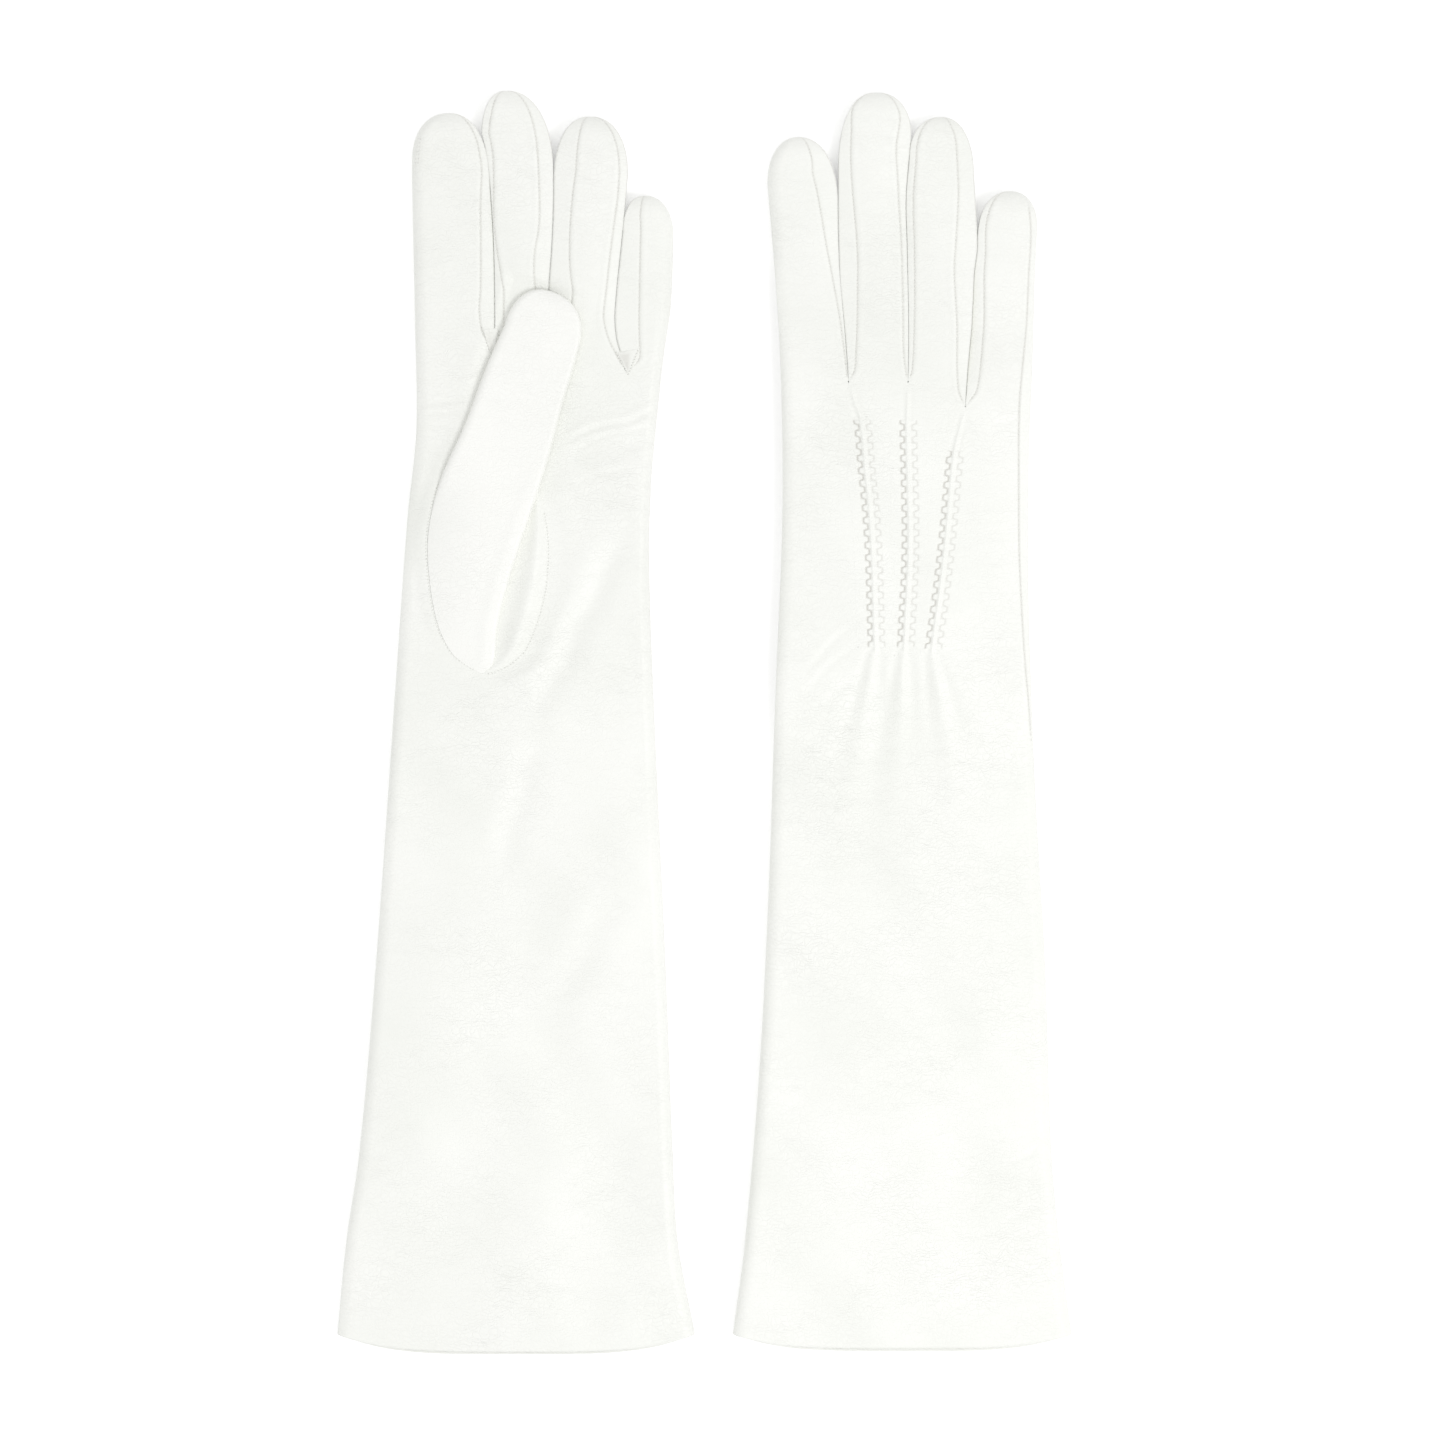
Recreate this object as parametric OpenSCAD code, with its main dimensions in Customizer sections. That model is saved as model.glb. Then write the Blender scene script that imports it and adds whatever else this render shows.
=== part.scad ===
// A pair of long leather gloves, laid flat side by side with their fingers pointing along +Y.
// The glove at -X is a left glove, palm up, with its thumb folded over the palm.
// The glove at +X is a right glove, back up, with its thumb folded under the palm.
// The origin is on the table, under the middle of the pair. Millimetres.

/* [Leather] */
// Thickness of the leather
leather = 0.8; // [0.6:0.05:0.9]
// Depth of the hem that is turned in at the cuff
hem_depth = 20; // [10:1:30]
// Gap between neighbouring finger stalls
slit = 0.8; // [0.7:0.05:1]

/* [Heights] */
// Height of the sleeve and of the finger ends as they lie
stall_h = 9; // [8.6:0.1:10]
// Height of the flattened thumb
thumb_h = 6; // [5.9:0.05:6]
// Height of the right hand's back over the table
right_hand_h = 12.6; // [12.4:0.1:13]

/* [Bends] */
// Where the hand bends at the wrist
wrist_y = -10; // [-14:1:-8]
// Where the index, middle and ring stalls bend
finger_bend_y = 178; // [177:1:184]
// Where the little stalls bend
little_bend_y = 160; // [158:1:168]
// Gap between two bodies at a bend
bend_gap = 0.3; // [0.25:0.05:0.5]

/* [Thumb] */
// Radius of the thumb's round foot, about which it swings
thumb_foot_r = 19.5; // [18:0.5:20]
// Radius of the hole between the thumb and the palm
thumb_hole_r = 14; // [10:0.5:15]
// Length of the thumb from the middle of its foot to its tip
thumb_len = 104; // [100:1:104]
// Angle of the thumb from the fingers' direction, towards the little finger
thumb_lean = 14; // [12:1:15]

/* [Points] */
// Width of a tuck on the back of the hand
tuck_w = 2; // [1.6:0.1:2.4]
// How far a tuck stands out of the leather
tuck_h = 0.9; // [0.6:0.1:1.2]
// Spacing of the hand stitches along a tuck
stitch_pitch = 4.6; // [4.2:0.1:6]
// How far the hand stitches reach out from the side of a tuck
stitch_w = 1.6; // [1.2:0.1:2]
// Thickness of the sewing thread of the hand stitches
stitch_h = 0.4; // [0.3:0.05:0.5]

/* [Quirks] */
// Width of the small gusset below each crotch
quirk_w = 7; // [5:0.5:8]
// Length of the small gusset below each crotch
quirk_len = 10; // [7:0.5:12]

/* [Hidden] */
LEFT = 0;
RIGHT = 1;
INDEX = 0;
MIDDLE = 1;
RING = 2;
LITTLE = 3;
OUTER = 0;
INNER = 1;
kid_white = "#F8F9F4";
thread_white = "#EFEFE6";
$fn = 64;

// Each glove has five lines that run along it, each a list of [y, x]: the outer edge on the index side,
// the middles of the three slits between the fingers, and the outer edge on the little finger's side.
left_lines = [
    [[-232, -139.3], [-197, -135.9], [-163, -130.9], [-94, -124.8], [8, -117.6], [77, -112.7], [111, -109.3],
        [150, -109.8], [205, -110.9], [215, -110.9]],
    [[140, -79.5], [160, -79.5], [180, -79.8], [195, -80.6], [207, -81.6], [216, -82.8], [225, -85]],
    [[136, -59.8], [164, -59], [180, -57.9], [195, -57.3], [209, -57.2]],
    [[130, -35], [150, -33.8], [160, -33.3], [169, -32.8], [180, -31.6], [193, -30.3], [209, -28.9]],
    [[-232, -3.6], [-197, -10.1], [-163, -12], [-94, -14.6], [8, -19.2], [60, -20.9], [90, -20.2], [111, -18.4],
        [139, -15.4], [158, -12.7], [187, -11.6]]
];
right_lines = [
    [[-232, 10.8], [-197, 15.4], [-128, 21.1], [-60, 24.5], [8, 26.8], [77, 29.5], [126, 29.1], [163, 27.2],
        [205, 23.8]],
    [[125, 54.8], [150, 53], [170, 51.3], [190, 50.7], [212, 50.7]],
    [[125, 77], [150, 77.3], [180, 76.8], [198, 76.4], [212, 77.5], [222, 78.5]],
    [[117, 98.5], [135, 99.8], [150, 101.2], [160, 101.7], [170, 102.2], [181, 103.5], [201, 102.6], [210, 102]],
    [[-232, 139.3], [-197, 134.7], [-163, 131.7], [-94, 129.4], [-26, 125.6], [43, 122.9], [100, 122.9],
        [144, 124.8], [163, 125.2], [189, 126.4]]
];
lines = [left_lines, right_lines];
// Each finger's tip, and where its left and right sides begin to round over towards it.
tips = [
    [[-97.1, 231], [-75.2, 239.5], [-43.5, 229.7], [-22.5, 199.7]],
    [[35.5, 221.9], [65.1, 238.8], [89.9, 229.5], [116.1, 201.4]]
];
shoulders = [
    [[213, 203], [223, 208], [205, 208], [186, 184]],
    [[204, 196], [211, 222], [214, 207], [183, 188]]
];
crotches = [[143, 141, 134], [129, 129, 119.5]];
bends = [finger_bend_y, finger_bend_y, finger_bend_y, little_bend_y];
cap_power = 2.2;
cap_steps = 8;
fourchette_steps = 6;
line_step = 9;

// Cuff: the corners' place, and how far its middle hangs below them.
cuff_y = -232;
cuff_sag = [7.5, 6.3];
cuff_steps = 10;

// The foot of the thumb, and the oval gusset that it is set in.
pivots = [[-84, 62], [60, 62]];
gusset_a = 23;
gusset_b = 43;
gusset_top = 12;
thumb_sides = [
    [[0, -1], [24, -22.9], [48, -18.8], [72, -16.1], [90, -13]],
    [[0, 1], [31, 14.5], [45, 15.2], [76, 16], [90, 15.8]]
];
thumb_tip_u = -1.9;

// The right hand arches over its thumb: where its underside rises and where it comes down again.
arch_h = thumb_h + bend_gap;
arch_rise = [-6, 16];
arch_fall = [168, 176];
little_fall = [128, 143];
far = 400;

// The rows of tucks on each back: the upper and the lower end of each.
tucks = [
    [[[-77, 112], [-71, 26]], [[-60, 112], [-61, 26]], [[-40, 101], [-49, 26]]],
    [[[59.1, 114.6], [64.7, 28.1]], [[76.7, 114.6], [75.7, 28.1]], [[94.7, 103], [86.1, 27.4]]]
];

function lerp(a, b, t) = a + (b - a) * t;
function flip(list) = [for (i = [len(list) - 1 : -1 : 0]) list[i]];

// Slope of a line at its point i, and the smooth curve through its points.
function slope(line, i) =
    let (a = max(0, i - 1), b = min(len(line) - 1, i + 1))
    (line[b][1] - line[a][1]) / (line[b][0] - line[a][0]);
function span_at(line, y) = max([0, for (i = [1 : len(line) - 2]) if (y > line[i][0]) i]);
function x_at(line, y) =
    let (i = span_at(line, y), w = line[i + 1][0] - line[i][0], t = (y - line[i][0]) / w)
    (2 * pow(t, 3) - 3 * pow(t, 2) + 1) * line[i][1] + (3 * pow(t, 2) - 2 * pow(t, 3)) * line[i + 1][1]
    + (pow(t, 3) - 2 * pow(t, 2) + t) * w * slope(line, i) + (pow(t, 3) - pow(t, 2)) * w * slope(line, i + 1);
function along(line, y0, y1, shift) =
    let (n = max(1, ceil(abs(y1 - y0) / line_step)))
    [for (k = [0 : n]) let (y = lerp(y0, y1, k / n)) [x_at(line, y) + shift, y]];

// A finger's side, from y0 to its shoulder, and the round cap from there to the tip.
function inward(s) = s == OUTER ? 1 : -1;
function is_slit(f, s) = !(f == INDEX && s == OUTER) && !(f == LITTLE && s == INNER);
function side_shift(f, s, inset) = inward(s) * (inset + (is_slit(f, s) ? slit / 2 : 0));
function side_path(g, f, s, inset, y0) =
    along(lines[g][f + s], y0, shoulders[g][f][s], side_shift(f, s, inset));
function cap_path(g, f, s, inset, k0, k1) =
    let (y = shoulders[g][f][s], x = x_at(lines[g][f + s], y) + side_shift(f, s, inset), tip = tips[g][f])
    [for (k = [k0 : k1]) let (a = 90 * k / cap_steps)
        [tip[0] + (x - tip[0]) * pow(cos(a), 2 / cap_power),
         y + (tip[1] - inset - y) * pow(sin(a), 2 / cap_power)]];

// Half of a finger end's outline. It steps in by the leather where a fourchette makes its side.
function panel_half(g, f, s, y0) = is_slit(f, s)
    ? concat(side_path(g, f, s, leather, y0), cap_path(g, f, s, leather, 1, fourchette_steps),
             cap_path(g, f, s, 0, fourchette_steps, cap_steps))
    : concat(side_path(g, f, s, 0, y0), cap_path(g, f, s, 0, 1, cap_steps));
function hollow_half(g, f, s, y0) = is_slit(f, s)
    ? concat(side_path(g, f, s, leather / 2, y0), cap_path(g, f, s, leather / 2, 1, fourchette_steps - 1),
             cap_path(g, f, s, leather, fourchette_steps, cap_steps))
    : concat(side_path(g, f, s, leather, y0), cap_path(g, f, s, leather, 1, cap_steps));

// The outline of a hand with the stubs of its four fingers, and the forked path round each crotch.
function half_turn(c, r) = [for (k = [1 : 7]) let (a = 180 + 180 * k / 8) [c[0] + r * cos(a), c[1] + r * sin(a)]];
function fork_path(g, i, r, over) =
    let (line = lines[g][i + 1], y = crotches[g][i])
    concat(along(line, bends[i] + over, y, -r), half_turn([x_at(line, y), y], r),
           along(line, y, bends[i + 1] + over, r));
function hand_outline(g, edge, fork, y0, over) =
    concat(along(lines[g][0], y0, bends[INDEX] + over, edge), fork_path(g, 0, fork, over),
           fork_path(g, 1, fork, over), fork_path(g, 2, fork, over),
           along(lines[g][4], bends[LITTLE] + over, y0, -edge));

// The outline of a sleeve, from its curved cuff to y1.
function cuff_path(g, edge, lift) =
    let (x0 = x_at(lines[g][0], cuff_y) + edge, x1 = x_at(lines[g][4], cuff_y) - edge)
    [for (k = [1 : cuff_steps - 1]) let (s = k / cuff_steps)
        [lerp(x1, x0, s), cuff_y + lift - cuff_sag[g] * (1 - pow(2 * s - 1, 4))]];
function sleeve_outline(g, edge, y1, lift) =
    concat(along(lines[g][0], cuff_y + lift, y1, edge), along(lines[g][4], y1, cuff_y + lift, -edge),
           cuff_path(g, edge, lift));

// The right hand's underside and back, seen from the side, as lists of [y, z].
function underside(g) = g == LEFT ? [[-far, 0], [far, 0]]
    : [[-far, 0], [arch_rise[0], 0], [arch_rise[1], arch_h], [arch_fall[0], arch_h], [arch_fall[1], 0], [far, 0]];
function back(g) = g == LEFT ? [[-far, stall_h], [far, stall_h]]
    : [[-far, stall_h], [arch_rise[0], stall_h], [arch_rise[1], right_hand_h], [arch_fall[0] - 3, right_hand_h],
       [arch_fall[1], stall_h], [far, stall_h]];
function palm_z(g) = g == LEFT ? stall_h : arch_h;
function back_z(g) = g == LEFT ? 0 : right_hand_h;
function raised(list, dz) = [for (p = list) [p[0], p[1] + dz]];

// Extrudes a list of [y, z] points along X.
module side_prism(points) {
    translate([-far, 0, 0]) rotate([90, 0, 90]) linear_extrude(2 * far) polygon(points);
}

// The strip of table that lies on the little finger's side of the last slit.
module little_column(g) {
    line = lines[g][3];
    edge = [[x_at(line, little_fall[0]), little_fall[0] - 1], [x_at(line, arch_fall[1]), arch_fall[1] + 20]];
    translate([0, 0, -far]) linear_extrude(2 * far) polygon(concat(edge, [[far, edge[1][1]], [far, edge[0][1]]]));
}

// Everything below a hand's underside, moved up by lift. The right little finger comes down sooner.
module below(g, lift) {
    difference() {
        side_prism(concat(raised(underside(g), lift), [[far, -far], [-far, -far]]));
        if (g == RIGHT) intersection() {
            side_prism([[little_fall[0], arch_h + lift], [little_fall[1], lift], [far, lift], [far, far],
                [little_fall[0], far]]);
            little_column(g);
        }
    }
}

// Everything above a hand's upper side, moved down by drop.
module above(g, drop) {
    side_prism(concat(raised(back(g), -drop), [[far, far], [-far, far]]));
    if (g == RIGHT) intersection() {
        side_prism([[little_fall[0], right_hand_h - drop], [little_fall[1], stall_h - drop],
            [arch_fall[1] + 10, stall_h - drop], [arch_fall[1] + 10, far], [little_fall[0], far]]);
        little_column(g);
    }
}

// A hand-high block over an outline, trimmed to the hand's underside and upper side less the leather.
module hand_block(points, g, skin) {
    difference() {
        translate([0, 0, -5]) linear_extrude(30) polygon(points);
        below(g, skin);
        above(g, skin);
    }
}

// Puts what is drawn on a palm: its z counts outwards from the palm's outer face.
module on_palm(g) {
    translate([0, 0, palm_z(g)]) mirror([0, 0, g == LEFT ? 0 : 1]) children();
}

// Puts what is drawn on the back of a hand: its z counts outwards from the back's outer face.
module on_back(g) {
    translate([0, 0, back_z(g)]) mirror([0, 0, g == LEFT ? 1 : 0]) children();
}

// The arm of the glove, open at the cuff and at the wrist.
module sleeve(g) {
    color(kid_white) difference() {
        linear_extrude(stall_h) polygon(sleeve_outline(g, 0, wrist_y - bend_gap, 0));
        translate([0, 0, leather]) linear_extrude(stall_h - 2 * leather)
            polygon(sleeve_outline(g, leather, wrist_y + 5, -12));
    }
}

// The band that is turned in at the cuff and lies against the sleeve.
module hem(g) {
    color(kid_white) difference() {
        translate([0, 0, leather]) linear_extrude(stall_h - 2 * leather)
            polygon(sleeve_outline(g, leather, cuff_y + hem_depth, 0));
        translate([0, 0, 2 * leather]) linear_extrude(stall_h - 4 * leather)
            polygon(sleeve_outline(g, 2 * leather, cuff_y + hem_depth + 5, -12));
    }
}

// The flat shape of a quirk, with its broad end against the fork.
module quirk_shape(g, i) {
    y = crotches[g][i];
    x = x_at(lines[g][i + 1], y);
    top = y - slit / 2 - leather - 0.1;
    polygon([[x - quirk_w / 2, top], [x, top - quirk_len], [x + quirk_w / 2, top]]);
}

// Lays a bar along a row of tucks. Its z range is counted outwards from the back's outer face.
module along_tuck(g, i) {
    ends = tucks[g][i];
    run = ends[1] - ends[0];
    on_back(g) translate([ends[0][0], ends[0][1], 0]) rotate([0, 0, atan2(run[1], run[0])]) children();
}
function tuck_len(g, i) = norm(tucks[g][i][1] - tucks[g][i][0]);

// Palm, back and finger stubs of the trank. The forks, quirks and tucks have their places left open.
module hand(g) {
    y0 = wrist_y;
    color(kid_white) difference() {
        hand_block(hand_outline(g, 0, slit / 2 + leather, y0, -bend_gap), g, 0);
        hand_block(hand_outline(g, leather, slit / 2 + leather / 2, y0 - 3, 3), g, leather);
        on_palm(g) translate([pivots[g][0], pivots[g][1], -leather - 1]) cylinder(r = thumb_hole_r, h = leather + 2);
        for (i = [0 : 2]) on_palm(g) translate([0, 0, -leather - 1]) linear_extrude(leather + 2) quirk_shape(g, i);
        for (i = [0 : 2]) along_tuck(g, i) translate([0, -tuck_w / 2, -leather - 1])
            cube([tuck_len(g, i), tuck_w, leather + 2]);
    }
}

// The root of a pair of fourchettes, which forks round a crotch.
module fork(g, i) {
    r0 = slit / 2;
    color(kid_white) hand_block(concat(fork_path(g, i, r0 + leather, -bend_gap),
        flip(fork_path(g, i, r0, -bend_gap))), g, 0);
}

// The small gusset in the palm below a crotch.
module quirk(g, i) {
    color(kid_white) on_palm(g) translate([0, 0, -leather]) linear_extrude(leather) quirk_shape(g, i);
}

// A raised tuck of the back with its two rows of hand stitches. It stands out on the side that
// is free: outwards on the right glove, and inwards on the left one, which lies on its back.
module point(g, i) {
    len = tuck_len(g, i);
    count = floor(len / stitch_pitch);
    rise = g == LEFT ? -leather - tuck_h : -leather;
    foot = g == LEFT ? -leather - stitch_h : 0;
    color(thread_white) along_tuck(g, i) {
        translate([0, -tuck_w / 2, rise]) cube([len, tuck_w, leather + tuck_h]);
        for (k = [0 : count - 1]) translate([stitch_pitch * (k + 0.25), -tuck_w / 2 - stitch_w, foot])
            cube([stitch_pitch / 2, tuck_w + 2 * stitch_w, stitch_h]);
    }
}

// Front, back and tip of a finger beyond its bend. The outermost stalls have one closed side too.
module finger_end(g, f) {
    y0 = bends[f];
    color(kid_white) difference() {
        linear_extrude(stall_h)
            polygon(concat(panel_half(g, f, OUTER, y0), flip(panel_half(g, f, INNER, y0))));
        translate([0, 0, leather]) linear_extrude(stall_h - 2 * leather)
            polygon(concat(hollow_half(g, f, OUTER, y0 - 3), flip(hollow_half(g, f, INNER, y0 - 3))));
    }
}

// The strip that makes one side of a finger beyond its bend.
module fourchette(g, f, s) {
    y0 = bends[f];
    outside = concat(side_path(g, f, s, 0, y0), cap_path(g, f, s, 0, 1, fourchette_steps));
    inside = concat(side_path(g, f, s, leather, y0), cap_path(g, f, s, leather, 1, fourchette_steps));
    color(kid_white) linear_extrude(stall_h) polygon(concat(outside, flip(inside)));
}

// The outline of a thumb that points along +Y from its foot, less an inset.
function thumb_side(s, inset) =
    let (line = thumb_sides[s], out = s == OUTER ? -1 : 1, end = line[len(line) - 1])
    [for (y = [6 : 7 : end[0]]) [x_at(thumb_line(s), y) - out * inset, y]];
function thumb_line(s) =
    [for (p = thumb_sides[s]) p[0] == 0 ? [0, p[1] * thumb_foot_r] : p];
function thumb_cap(s, inset) =
    let (line = thumb_line(s), end = line[len(line) - 1], out = s == OUTER ? -1 : 1, x = end[1] - out * inset)
    [for (k = [1 : cap_steps]) let (a = 90 * k / cap_steps)
        [thumb_tip_u + (x - thumb_tip_u) * pow(cos(a), 2 / cap_power),
         end[0] + (thumb_len - inset - end[0]) * pow(sin(a), 2 / cap_power)]];
function thumb_foot(inset) =
    [for (k = [0 : 16]) let (a = -180 * k / 16, r = thumb_foot_r - inset) [r * cos(a), r * sin(a)]];
function thumb_outline(inset) =
    concat(thumb_side(OUTER, inset), thumb_cap(OUTER, inset), flip(thumb_cap(INNER, inset)),
           flip(thumb_side(INNER, inset)), thumb_foot(inset));

// The thumb, a flat stall that lies on the palm and opens into it through its foot.
module thumb(g) {
    color(kid_white) on_palm(g) translate([pivots[g][0], pivots[g][1], bend_gap]) rotate([0, 0, -thumb_lean])
        difference() {
            linear_extrude(thumb_h) polygon(thumb_outline(0));
            translate([0, 0, leather]) linear_extrude(thumb_h - 2 * leather) polygon(thumb_outline(leather));
            translate([0, 0, -1]) cylinder(r = thumb_hole_r, h = leather + 2);
        }
}

// The lower half of the oval that the thumb is set in, hollow and open towards the thumb's foot.
function half_oval(inset) =
    let (a = gusset_a - inset, b = gusset_b - inset, start = asin(gusset_top / gusset_b))
    [for (k = [0 : 20]) let (t = -start - (180 - 2 * start) * k / 20) [a * cos(t), b * sin(t)]];
module thumb_gusset(g) {
    color(kid_white) on_palm(g) translate([pivots[g][0], pivots[g][1], 0]) difference() {
        linear_extrude(thumb_h) polygon(half_oval(0));
        translate([0, 0, -1]) linear_extrude(thumb_h - leather + 1) polygon(half_oval(leather));
        translate([0, 0, -2]) cylinder(r = thumb_foot_r + bend_gap, h = thumb_h + 4);
    }
}

sleeve(LEFT);  // left_sleeve
hem(LEFT);  // left_hem
hand(LEFT);  // left_hand
thumb_gusset(LEFT);  // left_thumb_gusset
thumb(LEFT);  // left_thumb
finger_end(LEFT, INDEX);  // left_index_end
finger_end(LEFT, MIDDLE);  // left_middle_end
finger_end(LEFT, RING);  // left_ring_end
finger_end(LEFT, LITTLE);  // left_little_end
fourchette(LEFT, INDEX, INNER);  // left_index_fourchette
fourchette(LEFT, MIDDLE, OUTER);  // left_middle_fourchette_a
fourchette(LEFT, MIDDLE, INNER);  // left_middle_fourchette_b
fourchette(LEFT, RING, OUTER);  // left_ring_fourchette_a
fourchette(LEFT, RING, INNER);  // left_ring_fourchette_b
fourchette(LEFT, LITTLE, OUTER);  // left_little_fourchette
fork(LEFT, 0);  // left_fork_index_middle
fork(LEFT, 1);  // left_fork_middle_ring
fork(LEFT, 2);  // left_fork_ring_little
quirk(LEFT, 0);  // left_quirk_index_middle
quirk(LEFT, 1);  // left_quirk_middle_ring
quirk(LEFT, 2);  // left_quirk_ring_little
point(LEFT, 0);  // left_point_index
point(LEFT, 1);  // left_point_middle
point(LEFT, 2);  // left_point_ring
sleeve(RIGHT);  // right_sleeve
hem(RIGHT);  // right_hem
hand(RIGHT);  // right_hand
thumb_gusset(RIGHT);  // right_thumb_gusset
thumb(RIGHT);  // right_thumb
finger_end(RIGHT, INDEX);  // right_index_end
finger_end(RIGHT, MIDDLE);  // right_middle_end
finger_end(RIGHT, RING);  // right_ring_end
finger_end(RIGHT, LITTLE);  // right_little_end
fourchette(RIGHT, INDEX, INNER);  // right_index_fourchette
fourchette(RIGHT, MIDDLE, OUTER);  // right_middle_fourchette_a
fourchette(RIGHT, MIDDLE, INNER);  // right_middle_fourchette_b
fourchette(RIGHT, RING, OUTER);  // right_ring_fourchette_a
fourchette(RIGHT, RING, INNER);  // right_ring_fourchette_b
fourchette(RIGHT, LITTLE, OUTER);  // right_little_fourchette
fork(RIGHT, 0);  // right_fork_index_middle
fork(RIGHT, 1);  // right_fork_middle_ring
fork(RIGHT, 2);  // right_fork_ring_little
quirk(RIGHT, 0);  // right_quirk_index_middle
quirk(RIGHT, 1);  // right_quirk_middle_ring
quirk(RIGHT, 2);  // right_quirk_ring_little
point(RIGHT, 0);  // right_point_index
point(RIGHT, 1);  // right_point_middle
point(RIGHT, 2);  // right_point_ring
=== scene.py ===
"""A pair of long kid leather gloves that lie flat on a pale table, every length in millimetres.

Every seam, slit, tuck and stitch is a shape of its own. A glove is a height field for its upper and lower
face: flat levels, swollen sides, soft dents and creases, from which each panel takes its own grid.
"""

import logging
import math
from dataclasses import dataclass, field, replace
from enum import Enum, IntEnum

import bpy
import numpy as np
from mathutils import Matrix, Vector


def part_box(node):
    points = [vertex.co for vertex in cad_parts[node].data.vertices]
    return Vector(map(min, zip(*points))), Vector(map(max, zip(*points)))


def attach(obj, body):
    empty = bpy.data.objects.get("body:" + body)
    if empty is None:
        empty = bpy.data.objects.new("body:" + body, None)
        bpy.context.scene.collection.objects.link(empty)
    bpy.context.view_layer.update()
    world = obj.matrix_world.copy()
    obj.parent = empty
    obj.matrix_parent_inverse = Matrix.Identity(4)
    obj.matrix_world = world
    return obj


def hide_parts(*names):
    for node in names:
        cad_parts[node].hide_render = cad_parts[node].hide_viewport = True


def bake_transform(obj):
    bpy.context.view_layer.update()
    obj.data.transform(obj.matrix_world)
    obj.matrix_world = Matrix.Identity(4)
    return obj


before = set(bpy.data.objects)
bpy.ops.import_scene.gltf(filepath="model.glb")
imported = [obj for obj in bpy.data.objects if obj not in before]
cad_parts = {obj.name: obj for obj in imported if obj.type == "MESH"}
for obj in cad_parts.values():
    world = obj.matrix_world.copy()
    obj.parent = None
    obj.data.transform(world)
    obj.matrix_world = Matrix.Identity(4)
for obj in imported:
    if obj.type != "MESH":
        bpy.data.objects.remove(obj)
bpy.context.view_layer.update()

Array = np.ndarray
Point = tuple[float, float]
Colour = tuple[float, float, float]
Place = tuple[float, float, float]
Input = bpy.types.NodeSocket | float
log = logging.getLogger("gloves")

MM = 0.001
LEATHER = 0.8
SLIT = 0.06
CAP_POWER = 2.2
CUFF_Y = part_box("left_hem")[1].y / MM - 20
HEM_DEPTH = 20.0
FOLD_R = 4.6
TIP_R = 7.5
SEAM_RISE = 0.88
EDGE_RISE = 0.7
FULL_STRIP = 4.5
FLANK_POWER = 0.75
CROWN_SWELL = 0.0022
CROWN_REACH = 7.0
SLIT_RUN_IN = 6.0
SLIT_RUN = 24.0
SLEEVE_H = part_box("left_sleeve")[1].z / MM
CUFF_FALL = 1.8
CUFF_SAG_REACH = 45.0
PALM_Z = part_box("right_hand")[1].z / MM
THUMB_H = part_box("right_thumb")[1].z / MM
ARCH_H = THUMB_H + 0.3
ARCH_ENDS = (((181, 19), (190, 74)), ((146, 26), (152, 36)))
ROW = 1.0
SLEEVE_ROW = 1.5
PANEL_COLUMNS = 18
FINE_HAND_Y = 70.0
TIP_ROWS = 34
TIP_REACH = 20.0
PATCH_HALF = 7.0
PATCH_FINE = 4.6
PATCH_FOOT = 3.6
PATCH_ROW = 0.26
PATCH_COLUMNS = 39
BED_HALF = 5.6
BED_DEPTH = 0.9
LATTICE = 64
CREASE_WOBBLE = 0.7
CREASE_WAVE = 4.1
THREAD_LIFT = 0.06
STITCH_PITCH = 1.3
STITCH_SHARE = 0.5
STITCH_SLANT = 0.2
SEAM_COLUMNS = (-0.8, -0.4, 0, 0.4, 0.8)
SEAM_REACH = 7.4
FULL_PANEL = 17.0
SLIT_COLUMNS = (0, 0.3, 0.6, 0.95, 1.4, 2.0, 2.8)
STITCH_RINGS = ((-0.5, 0.35), (-0.38, 0.95), (0.0, 1.1), (0.38, 0.95), (0.5, 0.35))
PLEAT_HALF = 1.1
PLEAT_FAN = 0.055
PLEAT_RISE = 0.75
PLEAT_REACH = 46.0
GROOVE_DEPTH = 0.24
GROOVE_HALF = 0.42
SEAM_SHADE = 0.4
SLIT_SHADE = 0.2
SIDE_SHADE = 0.6
THUMB_PRESS = 0.3
HEM_RISE = 0.16
DENTS = ((0, 1.3, 34, 60, 0.0), (1, 0.7, 17, 27, 0.5))
RIPPLES = ((2, 0.16, 24, 7, 0.0), (3, 0.06, 9, 2.6, 0.0))
QUIRK_ROWS = 22
GAPS = ("index_middle", "middle_ring", "ring_little")
POINT_NAMES = ("index", "middle", "ring")


class Edge(IntEnum):
    """The two sides of a finger: OUTER looks to the index finger's side, INNER to the little finger's."""

    OUTER = 0
    INNER = 1

    @property
    def inward(self) -> int:
        """Direction along X from this side into the finger."""
        return 1 if self is Edge.OUTER else -1


class Face(Enum):
    """The upper and the lower face of a glove as it lies."""

    TOP = 1
    BOTTOM = -1


def smooth(t: Array) -> Array:
    """Smooth step from 0 to 1 as t goes from 0 to 1."""
    t = np.clip(t, 0.0, 1.0)
    return t * t * (3 - 2 * t)


def bell(t: Array) -> Array:
    """Bell curve of height 1 and half-width 1."""
    return np.exp(-np.square(t))


def round_over(d: Array, r: float | Array) -> Array:
    """Quarter circle that rises from 0 to 1 as d goes from 0 to r."""
    t = np.clip(d / r, 0.0, 1.0)
    return np.sqrt(t * (2 - t))


def pillow(d: Array, r: float | Array) -> Array:
    """Soft parabola that rises from 0 to 1 as d goes from 0 to r."""
    t = np.clip(d / r, 0.0, 1.0)
    return t * (2 - t)


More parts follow.
